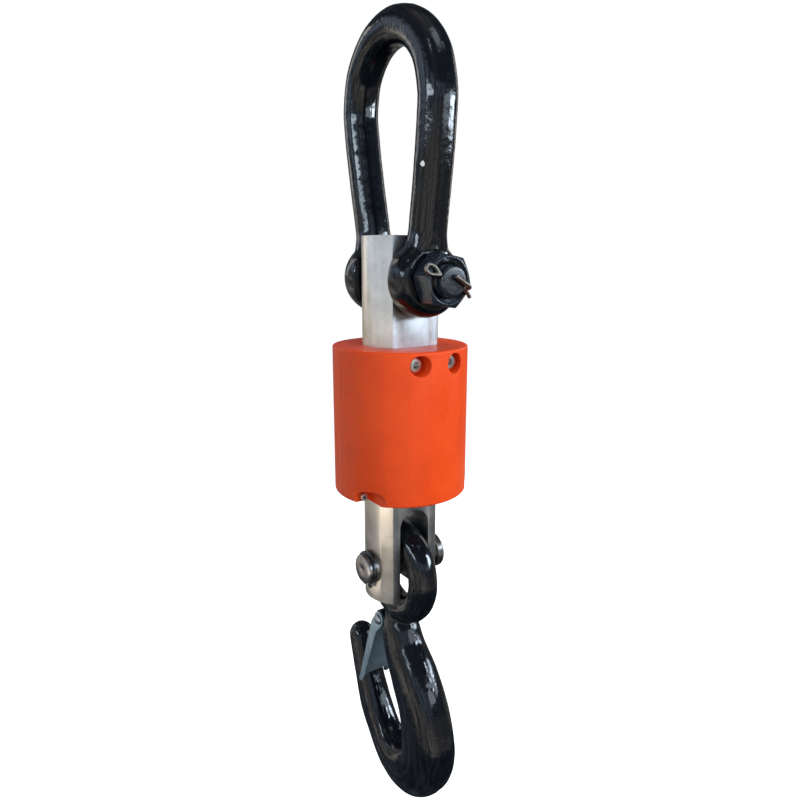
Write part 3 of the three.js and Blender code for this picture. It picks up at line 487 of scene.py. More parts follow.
def black_paint(name, chip=None):
    """Thick black gloss over a forging: orange peel in patches, pale specks, and a chip at one place."""
    paint = Paint(name, Coat_Weight=0.3, Coat_Roughness=0.03, Specular_IOR_Level=0.2)
    tone = paint.noise(22, 4)
    colour = paint.mixed(tone, (0.0020, 0.0028, 0.0044), (0.0048, 0.0060, 0.0085))
    specks = paint.ramp(paint.noise(1.4, 2), 0.735, 0.76)
    colour = paint.mixed(specks, colour, (0.06, 0.055, 0.05))
    if chip:
        rag = paint.ramp(paint.noise(1.1, 3), 0.3, 0.7, -0.45, 0.45)
        ragged = paint.maths("ADD", paint.near(chip, 1.9), rag)
        colour = paint.mixed(paint.ramp(ragged, 0.45, 0.55), colour, (0.78, 0.77, 0.74))
    paint.colour(colour)
    patch = paint.ramp(paint.noise(30, 2), 0.42, 0.62)
    paint.roughness(paint.ramp(patch, 0, 1, 0.07, 0.16))
    paint.bump(paint.noise(9, 2), 0.14)
    coarse = paint.maths("MULTIPLY", paint.noise(2.0, 4, 0.65), paint.ramp(patch, 0, 1, 0.15, 1.0))
    paint.bump(coarse, 0.15)
    paint.bump(paint.maths("MULTIPLY", paint.cells(2.6), patch), 0.07, coat=True)
    return paint.material


def smooth_black_paint(name):
    """The same paint on machined pieces: thinner and mottled, with softer edges."""
    paint = Paint(name, Coat_Weight=0.5, Coat_Roughness=0.08)
    paint.round_edges(0.3)
    colour = paint.mixed(paint.noise(6, 4), (0.004, 0.006, 0.010), (0.014, 0.019, 0.027))
    mottle = paint.ramp(paint.noise(1.6, 4, 0.7), 0.50, 0.66, 0, 0.5)
    paint.colour(paint.mixed(mottle, colour, (0.034, 0.046, 0.062)))
    paint.roughness(paint.ramp(paint.noise(4), 0.3, 0.7, 0.18, 0.34))
    paint.bump(paint.noise(0.9, 3), 0.03)
    paint.bump(paint.noise(5, 2), 0.06, coat=True)
    return paint.material


def turned_steel(name, light, dark, line=0.4, rough=0.30, stretch=(1, 1, 1), tarnish=0.0, hollow_shade=0.0):
    """Bare machined steel: fine lines drawn out by the stretch, cloudy tones, tarnish, and painted shade
    that darkens its hollows.
    """
    paint = Paint(name, Metallic=1.0)
    lines = paint.noise(line, 4, 0.7, stretch)
    cloud = paint.noise(14, 4, 0.6)
    colour = paint.mixed(paint.ramp(cloud, 0.3, 0.7), dark, light)
    colour = paint.mixed(paint.ramp(lines, 0.35, 0.75, 0.0, 0.7), colour, dark)
    if tarnish:
        spots = paint.ramp(paint.noise(2.6, 6, 0.75), 0.56, 0.72, 0, tarnish)
        colour = paint.mixed(spots, colour, (0.12, 0.10, 0.08))
    # Painted shade: the colour goes to near black where ambient occlusion finds a hollow.
    if hollow_shade:
        colour = paint.mixed(paint.ramp(paint.hollows(3), 0, 1, 0, hollow_shade), colour, (0.03, 0.028, 0.026))
    paint.colour(colour)
    paint.roughness(paint.ramp(paint.maths("ADD", lines, cloud), 0.7, 1.3, rough - 0.07, rough + 0.09))
    paint.bump(lines, 0.012)
    paint.bump(paint.noise(0.5, 2), 0.004)
    return paint.material


def zinc_sheet(name):
    """Zinc plated sheet: blue grey, cloudy, lightly scratched."""
    paint = Paint(name, Metallic=0.75)
    cloud = paint.noise(7, 5, 0.65)
    scratch = paint.noise(0.7, 3, 0.6, (1, 1, 0.08))
    colour = paint.mixed(paint.ramp(cloud, 0.3, 0.7), (0.36, 0.50, 0.58), (0.55, 0.68, 0.75))
    paint.colour(paint.mixed(paint.ramp(paint.edges(0.4), 0, 1, 0, 0.8), colour, (0.62, 0.64, 0.66)))
    paint.roughness(paint.ramp(paint.maths("ADD", cloud, scratch), 0.7, 1.3, 0.30, 0.48))
    paint.bump(scratch, 0.01)
    paint.bump(paint.noise(3, 3), 0.02)
    return paint.material


def orange_plastic(name):
    """Moulded orange nylon: satin, with faint flow clouds, fine grain, scuffs and paler sharp edges."""
    paint = Paint(name, Specular_IOR_Level=0.30, Subsurface_Weight=0.06, Subsurface_Scale=0.004)
    paint.set(Subsurface_Radius=(1.0, 0.25, 0.1))
    cloud = paint.noise(26, 4, 0.6)
    colour = paint.mixed(paint.ramp(cloud, 0.3, 0.7), (0.78, 0.060, 0.004), (0.90, 0.082, 0.008))
    scuff = paint.ramp(paint.noise(2.2, 6, 0.75, (1, 1, 0.25)), 0.60, 0.80, 0, 0.35)
    colour = paint.mixed(scuff, colour, (0.93, 0.17, 0.07))
    dirt = paint.ramp(paint.noise(9, 5, 0.7), 0.62, 0.8, 0, 0.25)
    colour = paint.mixed(dirt, colour, (0.50, 0.040, 0.012))
    # Paler orange on sharp edges, found by the bevelled normal.
    paint.colour(paint.mixed(paint.ramp(paint.edges(0.7), 0, 1, 0, 0.5), colour, (0.95, 0.22, 0.10)))
    paint.roughness(paint.ramp(cloud, 0.3, 0.7, 0.34, 0.46))
    paint.bump(paint.noise(0.45, 2), 0.012)
    paint.bump(paint.noise(18, 2), 0.10)
    return paint.material


def plastic(name, base, other, rough):
    """Moulded plastic or rubber with a fine grain."""
    paint = Paint(name)
    paint.colour(paint.mixed(paint.noise(5, 4), base, other))
    paint.roughness(paint.ramp(paint.noise(2), 0.3, 0.7, rough - 0.07, rough + 0.07))
    paint.bump(paint.noise(0.5, 2), 0.02)
    return paint.material


def lamp_lens(name):
    """Clear green plastic."""
    paint = Paint(name, Transmission_Weight=0.5, IOR=1.49)
    paint.colour(paint.mixed(paint.noise(1.2), (0.06, 0.42, 0.10), (0.12, 0.60, 0.18)))
    paint.roughness(paint.ramp(paint.noise(0.8), 0.3, 0.7, 0.06, 0.16))
    return paint.material


def circuit_board(name):
    """Green solder mask with lighter tracks under it."""
    paint = Paint(name, Coat_Weight=0.3)
    tracks = paint.add("TexBrick", Vector=paint.where, Scale=260).outputs["Fac"]
    paint.colour(paint.mixed(tracks, (0.012, 0.12, 0.045), (0.03, 0.24, 0.08)))
    paint.roughness(paint.ramp(paint.noise(2), 0.3, 0.7, 0.3, 0.45))
    return paint.material


PAINT_CHIP = (39.9, -10.8, -73.3)
look = {
    "bow": black_paint("black_gloss_bow", PAINT_CHIP),
    "hook": black_paint("black_gloss_hook"),
    "bolt": smooth_black_paint("black_bolt"),
    "side": turned_steel(
        "cell_round_side", (0.92, 0.86, 0.77), (0.66, 0.60, 0.52), line=1.2, rough=0.36, stretch=(1, 1, 4),
        tarnish=0.3,
    ),
    "flat": turned_steel(
        "cell_ground_flat", (0.86, 0.86, 0.86), (0.50, 0.50, 0.51), line=1.0, rough=0.40,
        stretch=(4, 4, 0.5), tarnish=0.2,
    ),
    # The pin, the split pin and the stainless steel get painted shade in their hollows.
    "pin": turned_steel("pin_steel", (0.46, 0.44, 0.42), (0.30, 0.28, 0.27), tarnish=0.35, hollow_shade=0.7),
    "zinc": turned_steel("zinc_steel", (0.60, 0.62, 0.64), (0.38, 0.40, 0.42), line=0.6),
    "split": turned_steel(
        "split_pin_steel", (0.50, 0.47, 0.42), (0.25, 0.22, 0.19), rough=0.36, tarnish=0.7, hollow_shade=0.8
    ),
    "stainless": turned_steel(
        "stainless", (0.82, 0.82, 0.81), (0.60, 0.60, 0.60), line=0.3, rough=0.22, hollow_shade=0.6
    ),
    "spring": turned_steel("spring_steel", (0.16, 0.17, 0.19), (0.07, 0.08, 0.09), rough=0.28),
    "sheet": zinc_sheet("zinc_sheet"),
    "orange": orange_plastic("orange_plastic"),
    "black_plastic": plastic("black_plastic", (0.012, 0.012, 0.013), (0.03, 0.03, 0.032), 0.5),
    "rubber": plastic("black_rubber", (0.010, 0.010, 0.010), (0.025, 0.025, 0.024), 0.72),
    "brass": turned_steel("brass", (0.72, 0.50, 0.20), (0.50, 0.32, 0.12)),
    "foil": turned_steel(
        "gauge_foil", (0.72, 0.48, 0.22), (0.45, 0.28, 0.12), line=0.3, rough=0.38, stretch=(8, 1, 1)
    ),
    "wrap": plastic("cell_wrap", (0.02, 0.09, 0.26), (0.03, 0.13, 0.34), 0.3),
    "board": circuit_board("circuit_board"),
    "lamp": lamp_lens("lamp_lens"),
}


# ---- Shackle bow ----

BOLT_RADIUS = 10
BAR_RADIUS = 11.7
CROWN_RADIUS = 43.6
EAR_RADIUS = 23.5
EAR_INNER_X = 20.5
EAR_OUTER_X = 38
CROWN_LEAN = 5.8


def bow_points():
    """The bar's centre line in X and Z, from one bolt hole over the crown to the other."""
    leg = [(x, bolt_z + rise) for x, rise in ((29.2, 0), (29.6, 14), (32.9, 35), (38.3, 64), (42.6, 93))]
    crown_z = BAR_RADIUS - CROWN_RADIUS
    crown = [
        (CROWN_RADIUS * math.cos(math.radians(a)), crown_z + CROWN_RADIUS * math.sin(math.radians(a)))
        for a in range(180, -1, -30)
    ]
    return [(-x, z) for x, z in leg] + crown + leg[::-1]


def lean_of_bow(z):
    """The forging isn't quite symmetric: its crown stands a little towards the bolt's head."""
    rise = max(0.0, (z - bolt_z - 5) / (-bolt_z - 5))
    return -CROWN_LEAN * rise ** 0.85


def bow_bar():
    """The bar, its section slightly squared and spread a little across the bow above each ear."""
    path = smooth_path(bow_points(), 300)
    rings = []
    for i, here in enumerate(path):
        along = direction(path, i)
        above = here.y - bolt_z
        flare = max(0.0, min(1.0, (31 - above) / 20))
        flare = flare * flare * (3 - 2 * flare)
        depth = BAR_RADIUS - 2.2 * flare
        width = BAR_RADIUS + 5 * flare
        ring = []
        for k in range(64):
            a = 2 * math.pi * k / 64 + math.pi / 4
            reach = 0.965 * squared(a, 2.3)
            offset = depth * reach * math.cos(a)
            x = here.x + along.y * offset + lean_of_bow(here.y)
            ring.append((x, width * reach * math.sin(a), here.y - along.x * offset))
        rings.append(ring)
    return loft("bow_bar", rings)


def ear(side):
    """The forged disc that the bolt goes through, its rim rounded off outwards."""
    inner, outer, rim = EAR_INNER_X - 1.2, EAR_OUTER_X, EAR_RADIUS
    corners = [(0, inner), (rim - 0.2, inner), (rim, inner + 11)]
    corners += [(rim - 1.5, outer - 2.2), (rim - 5, outer), (0, outer)]
    return revolve("ear", "X", [(r, side * x) for r, x in rounded(corners, 3)], (0, 0, bolt_z), 72)


def shackle_bow():
    """The bow forging, with its jaw planed, its bolt holes bored and a seat faced on each ear."""
    made = gathered("bow_forging", bow_bar(), ear(1), ear(-1))
    forge(made, 0.72, 9)
    forged_skin(made, 0.24, 1.1, 0.12)
    jaw = block("jaw", (-EAR_INNER_X, -40, bolt_z - 40), (EAR_INNER_X, 40, bolt_z + 33))
    centre = (0, 0, bolt_z)
    bore = rod("bore", "X", BOLT_RADIUS + 0.5, -CLEAR, CLEAR, centre)
    seats = [
        rod("seat", "X", 18.6, side * (EAR_OUTER_X - 0.15), side * CLEAR, centre, 96) for side in (1, -1)
    ]
    cut(made, jaw, bore, *seats)
    place(made, "shackle", "black_paint", look["bow"], "shackle_bow", angle=38)


# ---- Bolt, nut and split pin ----

NUT_FLATS = 30
NUT_FACE_RADIUS = NUT_FLATS / 2 - 0.8
NUT_TURN = 20
NUT_THICKNESS = 15
NUT_MOUTH_RADIUS = 13.7
BOLT_HEAD_THICKNESS = 8
BOLT_END_X = 57.8
BOLT_END_RADIUS = 9
SPLIT_X = 55
SPLIT_RADIUS = 1.75
SPLIT_TILT = math.radians(-24.5)
THREAD_PITCH = 2.5


def bolt_head(low, high):
    """A hexagon with its corners turned off at its outer end."""
    bar = prism("bolt_head", hexagon(NUT_FLATS), "X", low, high)
    corner = NUT_FLATS / math.sqrt(3) + 0.3
    profile = [(0, low), (NUT_FACE_RADIUS, low), (corner, low + 2.3), (corner, high), (0, high)]
    return common(bar, revolve("chamfer", "X", profile, segments=96))


def shackle_bolt():
    """Head, shank, threaded stretch and the reduced, drilled end."""
    head_in = -EAR_OUTER_X - 0.3
    head_out = head_in - BOLT_HEAD_THICKNESS
    thread_from, thread_to = EAR_OUTER_X + 1, EAR_OUTER_X + 13.6
    profile = [(0, head_in - 1), (BOLT_RADIUS, head_in - 1), (BOLT_RADIUS, thread_from)]
    for i in range(int((thread_to - thread_from) / THREAD_PITCH)):
        start = thread_from + i * THREAD_PITCH
        profile += [
            (BOLT_RADIUS, start + 0.3),
            (BOLT_RADIUS - 1.3, start + THREAD_PITCH * 0.5),
            (BOLT_RADIUS, start + THREAD_PITCH - 0.3),
        ]
    radius, end = BOLT_END_RADIUS, BOLT_END_X
    profile += [(radius, thread_to + 0.6), (radius, end - 1.1)]
    profile += [(radius - 0.25, end - 0.5), (radius - 1.1, end), (0, end)]
    made = revolve("bolt_shank", "X", profile, segments=80)
    join(made, bolt_head(head_out, head_in))
    hole = rod("hole", "Y", 2.2, -12, 12, (SPLIT_X, 0, 0), 32)
    hole.data.transform(Matrix.Rotation(SPLIT_TILT, 4, "X"))
    cut(made, hole)
    soften_edges(made, 0.3, 2, 28)
    lift(made, 0, bolt_z)
    place(made, "shackle_bolt_set", "black_paint", look["bolt"], "shackle_bolt")


def nut_reach(angle):
    """How far the nut's hexagon reaches from its middle at this angle."""
    from_flat = (math.degrees(angle) - 90 - NUT_TURN) % 60 - 30
    return NUT_FLATS / 2 / math.cos(math.radians(from_flat))


def shackle_nut():
    """A hexagon with its corners turned off, and a ringed countersink in its outer face."""
    low = EAR_OUTER_X + 0.3
    high = low + NUT_THICKNESS
    bore, cone_foot = BOLT_RADIUS + 0.3, high - 5.4
    profile = [(bore, low), (bore, cone_foot)]
    for turn in range(3):
        grow, along = 0.45 * turn, cone_foot + 1.1 * turn
        profile += [(bore + 1 + grow, along + 0.4), (bore + 0.3 + grow, along + 1.0)]
    profile += [(12.2, high - 1.5), (NUT_MOUTH_RADIUS, high), (NUT_FACE_RADIUS, high)]
    angles = [2 * math.pi * i / 144 for i in range(144)]
    on_axis = AXIS_POINT["X"]
    rings = [[on_axis(radius, along, a) for a in angles] for radius, along in profile]
    for end, slope in ((high, -0.55), (low, 0.55)):
        reached = [(nut_reach(a), a) for a in angles]
        rings.append([on_axis(r, end + (r - NUT_FACE_RADIUS) * slope, a) for r, a in reached])
    rings.append([on_axis(NUT_FACE_RADIUS, low, a) for a in angles])
    made = loft("nut", rings, closed=True)
    lift(made, 0, bolt_z)
    place(made, "shackle_bolt_set", "black_paint", look["bolt"], "shackle_nut", angle=22)


def split_pin():
    """Wire folded on itself: an eye, two legs in the hole, one bent over the bolt's end and one down."""
    eye = [(-9.2, 0.25), (-11.2, 0.9), (-13.6, 2.1), (-16.6, 2.6), (-19.0, 1.9), (-19.9, 0),
           (-19.0, -1.9), (-16.6, -2.5), (-13.6, -1.9), (-11.2, -0.9), (-9.2, -0.25)]
    upper = [(0, -9.2, 0.3), (0, 0, 0.3), (0, 9.6, 0.3), (1.6, 11.4, 0.5), (3.5, 11.2, 0.9),
             (4.6, 9.0, 1.3), (4.6, 4.5, 1.8), (4.6, -2.2, 2.4)]
    lower = [(0, -9.2, -0.3), (0, 0, -0.3), (0, 9.4, -0.3), (-0.2, 12.4, -0.9), (-0.9, 17.4, -3.0)]
    runs = [([(0, y, z) for y, z in eye], 60, 0.68), (upper, 70, 0.78), (lower, 50, 0.7)]
    parts = []
    for run, count, share in runs:
        route = [(SPLIT_X + x, y, z) for x, y, z in run]
        parts.append(wire("leg", smooth_path(route, count), SPLIT_RADIUS * share, 20))
    made = gathered("split_pin", *parts)
    forge(made, 0.22, 2)
    made.data.transform(Matrix.Rotation(SPLIT_TILT, 4, "X"))
    lift(made, 0, bolt_z)
    place(made, "shackle_bolt_set", "pin_steel", look["split"], "split_pin", angle=60)


# ---- Load cell ----

SLOT_HALF = 11.7
UPPER_SCREW_Y = 12.9
upper_screw_z = shell_high.z - 8.6
drum_middle = (shell_low.z + shell_high.z) / 2


def cell_outline(grow=0.0, steps=40):
    """A circle with two flats that face X."""
    radius = cell_radius + grow
    flat = math.degrees(math.acos((cell_flat_x + grow) / radius))
    return arc((0, 0), radius, flat, 180 - flat, steps) + arc((0, 0), radius, 180 + flat, 360 - flat, steps)


def load_cell():
    """The bar with its slot, its two cross bores and the pockets for the gauges."""
    made = prism("load_cell", cell_outline(), "Z", cell_low.z, cell_high.z)
    arch = arc((0, slot_top - SLOT_HALF), SLOT_HALF, 180, 0, 40)
    outline = [(SLOT_HALF, cell_low.z - 5), (-SLOT_HALF, cell_low.z - 5), *arch]
    slot = prism("slot", outline, "X", -30, 30)
    bolt_bore = rod("bore", "X", BOLT_RADIUS + 0.7, -30, 30, (0, 0, bolt_z))
    pin_bore = rod("bore", "Y", PIN_BORE_RADIUS, -40, 40, (0, 0, pin_z))
    pockets = [rod("pocket", "X", 12, side * 5, side * 25, (0, 0, drum_middle), 48) for side in (1, -1)]
    cut(made, slot, bolt_bore, pin_bore, *pockets)
    soften_edges(made, 0.45, 2, 30)
    place(made, "scale_body", "cell_steel", look["side"], "load_cell_body", angle=30)
    made.data.materials.append(look["flat"])
    for face in made.data.polygons:
        inside_slot = abs(face.center.y) < (SLOT_HALF + 0.3) * MM
        if abs(face.normal.x) > 0.9 or abs(face.normal.z) > 0.9 or inside_slot:
            face.material_index = 1


# ---- Hook pin and circlip ----

CIRCLIP_Y = 27
CIRCLIP_THICKNESS = 1.75
LUG_X = 3.5
PIN_RADIUS = 10
PIN_END = 31.5
PIN_HEAD_RADIUS = 12.5
PIN_HEAD_FROM = 25.4
PIN_HEAD_TO = 30.8


def hook_pin():
    """A headed pin with a groove for the circlip at its plain end."""
    edge, floor = PIN_RADIUS, PIN_RADIUS - 1
    groove = [(edge, -1.2), (floor, -1.15), (floor, 1.15), (edge, 1.2)]
    groove = [(radius, along - CIRCLIP_Y) for radius, along in groove]
    plain_end = [(0, 0.5), (0.6, 0), (edge - 0.9, 0), (edge - 0.25, 0.5), (edge, 1.2)]
    plain_end = [(radius, along - PIN_END) for radius, along in plain_end]
    head = [(edge, PIN_HEAD_FROM), (PIN_HEAD_RADIUS - 0.4, PIN_HEAD_FROM)]
    head.append((PIN_HEAD_RADIUS, PIN_HEAD_FROM + 0.4))
    for step in range(7):
        a = math.radians(90 * step / 6)
        head.append((PIN_HEAD_RADIUS - 1.6 + 1.6 * math.cos(a), PIN_HEAD_TO - 1.6 + 1.6 * math.sin(a)))
    made = revolve("headed_pin", "Y", plain_end + groove + head + [(0, PIN_HEAD_TO)], (0, 0, pin_z), 96)
    place(made, "pin", "pin_steel", look["pin"], "hook_pin", angle=40)


def circlip():
    """A ring that thins towards its opening at the foot, with a drilled lug on each side of it."""
    outer = arc((0, 0.2), 11.6, -68, 248, 60)
    inner = arc((0, 0), 9.35, 256, -76, 60)
    low, high = -CIRCLIP_Y - CIRCLIP_THICKNESS / 2, -CIRCLIP_Y + CIRCLIP_THICKNESS / 2
    band = prism("retaining_ring", outer + inner, "Y", low, high)
    lugs, eyelets = [], []
    for side in (-1, 1):
        lug = arc((side * LUG_X, -11.7), 1.9, 0, 348, 29)
        eyelet = arc((side * LUG_X, -11.9), 0.85, 0, 345, 23)
        lugs.append(prism("lug", lug, "Y", low + 0.01, high - 0.01))
        eyelets.append(prism("eyelet", eyelet, "Y", low - 1, high + 1))
    join(band, *lugs)
    cut(band, *eyelets)
    soften_edges(band, 0.16, 2, 40)
    lift(band, 0, pin_z)
    place(band, "pin", "spring_steel", look["spring"], "circlip")


# ---- Hook, latch, rivet and spring ----

BOWL_X, BOWL_RADIUS = 3, 33.4
bowl_z = eye_z - 123.2
latch_x, latch_z = -13.5, eye_z - 43.5
LUG_HALF = 8
LATCH_ROOM_RADIUS = 8.6
LATCH_WEB_TOP = 8
RIVET_HOLE_RADIUS = 2.8
SPRING_HALF = 3.2
LATCH_LENGTH = 69
LATCH_LEAN = math.radians(18.5)
LATCH_FOOT_HALF = 12.2
SHEET = 1.8


def hook_stations():
    """(x, z, half depth in the hook's plane) along the forging, from the eye's foot to the tip."""
    stations = [
        (0, eye_z - EYE_RADIUS, 10.6),
        (-0.2, eye_z - 36, 10.8),
        (1.4, eye_z - 44, 14.0),
        (6.2, eye_z - 58, 16.5),
        (19, eye_z - 76, 19),
        (31.3, eye_z - 98, 19.9),
    ]
    for degrees in range(0, -136, -27):
        angle = math.radians(degrees)
        x = BOWL_X + BOWL_RADIUS * math.cos(angle)
        z = bowl_z + BOWL_RADIUS * math.sin(angle)
        stations.append((x, z, 20.8 - 7.6 * (-degrees / 135) ** 1.5))
    stations += [(-34.8, eye_z - 129.5, 12.8), (-46, eye_z - 106, 11.0), (-56.8, eye_z - 79, 9.6),
                 (-60, eye_z - 71.2, 9.2)]
    return stations


def hook_bar():
    """The forging's bar: flat sides, a broad back, and a dome at the tip."""
    path = smooth_path(hook_stations(), 320)
    line = [station.xy for station in path]
    left = [0.0]
    for here, after in zip(reversed(path[:-1]), reversed(path)):
        left.append(left[-1] + (here - after).length)
    left.reverse()
    rings = []
    for i, (x, z, depth) in enumerate(path):
        along = direction(line, i)
        to_end = left[i] / 10
        shrink = math.sqrt(max(0.0, 1 - (1 - to_end) ** 2)) if to_end < 1 else 1.0
        thickness = 4.3 + 0.58 * depth
        ring = []
        for k in range(72):
            a = 2 * math.pi * k / 72
            inside = math.cos(a) > 0
            reach = shrink * (0.955 if inside else 0.985) * squared(a, 2.8 if inside else 2.5)
            offset = depth * reach * math.cos(a)
            ring.append((x + along.y * offset, thickness * reach * math.sin(a), z - along.x * offset))
        rings.append(ring)
    return loft("hook_bar", rings)


def eye_ring():
    """The forging's eye, a plain torus."""
    section = [(EYE_RADIUS + y, x) for x, y in arc((0, 0), EYE_BAR, 0, 351, 39)]
    return revolve("hook_eye", "Y", section, (0, 0, eye_z), 120, closed=True)


def at_latch(name, radius, low, high, segments=48):
    return rod(name, "Y", radius, low, high, (latch_x, 0, latch_z), segments)


def eye_hook():
    """The hook forging, with the latch's lug and the room that the latch and its spring turn in."""
    made = gathered("hook_forging", hook_bar(), eye_ring())
    forge(made, 0.8, 7)
    forged_skin(made, 0.34, 1.3, 0.14)
    rooms = [at_latch("room", LATCH_ROOM_RADIUS, side * (LUG_HALF + 0.1), side * 20) for side in (-1, 1)]
    cut(made, *rooms)
    join(made, at_latch("lug", 6.5, -LUG_HALF, LUG_HALF))
    spring_room = at_latch("spring_room", LATCH_ROOM_RADIUS, -SPRING_HALF, SPRING_HALF)
    cut(made, spring_room, at_latch("hole", RIVET_HOLE_RADIUS, -20, 20, 32))
    place(made, "load_hook", "black_paint", look["hook"], "hook", angle=38)


def latch_flange(side):
    """One edge of the pressed channel: an ear round the rivet running down to a pointed foot."""
    inner_half = LUG_HALF + 0.6
    outline = [(-7.4, -8), (-5.6, -2.5)]
    outline += arc((0, 0), 5.4, 180, 0, 24)
    outline += [(4.2, -5), (1, -12), (-0.4, -LATCH_LENGTH + 6), (-1.2, -LATCH_LENGTH + 1.5)]
    outline += [(-2.8, -LATCH_LENGTH - 0.8), (-5, -LATCH_LENGTH - 1)]
    low = inner_half if side > 0 else -inner_half - SHEET
    plate = prism("flange", outline, "Y", low, low + SHEET)
    spread = math.atan((LATCH_FOOT_HALF - inner_half - SHEET) / LATCH_LENGTH)
    plate.data.transform(Matrix.Rotation(side * spread, 4, "X"))
    return plate


def hook_latch():
    """A pressed channel: a web that narrows upwards, with a dished foot, between two flanges."""
    top_half = LUG_HALF + 1.5
    foot_half = LATCH_FOOT_HALF - 0.9
    foot_z = -LATCH_LENGTH + 6
    curve = [(foot_half * (1 - 2 * t), foot_z + 8 * t * (1 - t)) for t in (i / 20 for i in range(21))]
    outline = [(-top_half, -LATCH_WEB_TOP), (top_half, -LATCH_WEB_TOP), *curve]
    made = prism("safety_latch", outline, "X", -SHEET - 1.4, -1.4)
    join(made, latch_flange(1), latch_flange(-1))
    cut(made, rod("hole", "Y", RIVET_HOLE_RADIUS, -20, 20, segments=32))
    soften_edges(made, 0.5, 3, 50)
    made.data.transform(Matrix.Rotation(LATCH_LEAN, 4, "Y"))
    lift(made, latch_x, latch_z)
    place(made, "latch", "zinc_steel", look["sheet"], "hook_latch", angle=35)


def latch_rivet():
    """A rivet with a domed head at each end."""
    shank_half = LUG_HALF + 2.7
    head = [(2.5, shank_half), (3.9, shank_half), (3.85, shank_half + 0.5), (3.2, shank_half + 1.3),
            (2.0, shank_half + 1.7), (0.0, shank_half + 1.8)]
    profile = [(r, -y) for r, y in reversed(head)] + head
    made = revolve("latch_rivet", "Y", profile, (latch_x, 0, latch_z), 48)
    place(made, "load_hook", "zinc_steel", look["zinc"], "latch_pin", angle=40)


def latch_spring():
    """Four turns of wire round the rivet, with a leg on the latch's web and one on the hook's neck."""
    reach, radius, turns = 3.45, 0.6, 4
    half = SPRING_HALF - 0.9
    lean_x = math.sin(LATCH_LEAN)
    lean_z = math.cos(LATCH_LEAN)
    coil = []
    steps = turns * 24
    for i in range(steps + 1):
        a = 2 * math.pi * i / 24
        coil.append((reach * math.cos(a), half - 2 * half * i / steps, -reach * math.sin(a)))
    foot_x, foot_z = -0.4, -LATCH_WEB_TOP - 1
    web_leg = [(foot_x * lean_z + foot_z * lean_x, half, -foot_x * lean_x + foot_z * lean_z)]
    neck_leg = [(reach - 0.2, -half, 5.4)]
    made = wire("latch_coil", web_leg + coil + neck_leg, radius, 12)
    lift(made, latch_x, latch_z)
    place(made, "latch", "spring_steel", look["spring"], "latch_spring", angle=60)


# ---- Housing ----

RECESS_RADIUS = 6.7
UPPER_SEAT_X = 32.5
NOTCH_Y = 37.8
NOTCH_RADIUS = 6
NOTCH_SEAT_X = 12.4
notch_z = shell_low.z + 3.6
BUTTON_RADIUS = 5
button_z = shell_high.z - 20
LAMP_RADIUS = 2.2
CHARGE_AZIMUTH = math.radians(128)
charge_z = shell_high.z - 50
SPLIT_GAP = 0.2
WALL = 3.4
END_WALL = 5


def outwards(name, radius, side, start, y, z, segments=48):
    """A rod that runs out of one side of the housing, parallel to X."""
    return rod(name, "X", radius, side * start, side * CLEAR, (0, y, z), segments)


def half_drum(name, side):
    """Half of the drum: its wall and end walls swept through half a turn, with bosses and recesses."""
    low, high = shell_low.z, shell_high.z
    steps = 96
    outside = rounded([(15, low), (drum_radius, low), (drum_radius, high), (15, high)], 1.7, 6)
    inside = [(15, high - END_WALL), (drum_radius - WALL, high - END_WALL),
              (drum_radius - WALL, low + END_WALL), (15, low + END_WALL)]
    rings = []
    for i in range(steps + 1):
        a = math.pi * (i / steps - 0.5)
        across, out = math.sin(a), side * math.cos(a)
        rings.append([(r * out + side * SPLIT_GAP, r * across, z) for r, z in outside + inside])
    drum = loft(name, rings)
    places = [(hand * UPPER_SCREW_Y, upper_screw_z, 20, 2.7) for hand in (-1, 1)]
    places += [(hand * NOTCH_Y, notch_z, 1, 1.7) for hand in (-1, 1)]
    reach = drum_radius - 0.8
    limit = [(0, low + 0.6), (reach, low + 0.6), (reach, high - 0.6), (0, high - 0.6)]
    for y, z, start, hole in places:
        boss = outwards("boss", 8.2, side, start, y, z)
        common(boss, revolve("limit", "Z", limit, segments=96))
        join(drum, boss)
    cut(drum, prism("cell_room", cell_outline(0.4), "Z", low - 5, high + 5))
    for y, z, start, hole in places:
        cut(drum, outwards("screw_hole", hole, side, start - 20, y, z, 24))
    for y in (-UPPER_SCREW_Y, UPPER_SCREW_Y):
        cut(drum, outwards("recess", RECESS_RADIUS, side, UPPER_SEAT_X, y, upper_screw_z, 64))
    return drum


def finish_shell(made, node):
    soften_edges(made, 0.45, 3, 34)
    place(made, "scale_body", "orange_plastic", look["orange"], node, angle=40)


def front_shell():
    """The front half, with a notch at each foot corner for the screw that joins the shells."""
    made = half_drum("front_half_drum", 1)
    for hand in (-1, 1):
        cut(made, outwards("notch", NOTCH_RADIUS, 1, NOTCH_SEAT_X, hand * NOTCH_Y, notch_z, 64))
    finish_shell(made, "front_shell")


def at_charge(made):
    """Turns a piece that was made along X to where the charging socket is."""
    made.data.transform(Matrix.Rotation(CHARGE_AZIMUTH, 4, "Z"))
    lift(made, 0, charge_z)
    return made


def rear_shell():
    """The rear half, with seats and holes for the button, the lamp and the charging socket."""
    made = half_drum("rear_half_drum", -1)
    cut(
        made,
        outwards("bezel_seat", BUTTON_RADIUS + 3.1, -1, drum_radius - 1.3, 0, button_z),
        outwards("button_hole", BUTTON_RADIUS + 0.4, -1, 38, 0, button_z),
        outwards("lamp_hole", LAMP_RADIUS + 0.3, -1, 36, 0, upper_screw_z, 32),
        at_charge(outwards("socket_seat", 8.5, 1, drum_radius - 1.5, 0, 0)),
        at_charge(outwards("socket_hole", 6, 1, 35, 0, 0)),
    )
    finish_shell(made, "rear_shell")


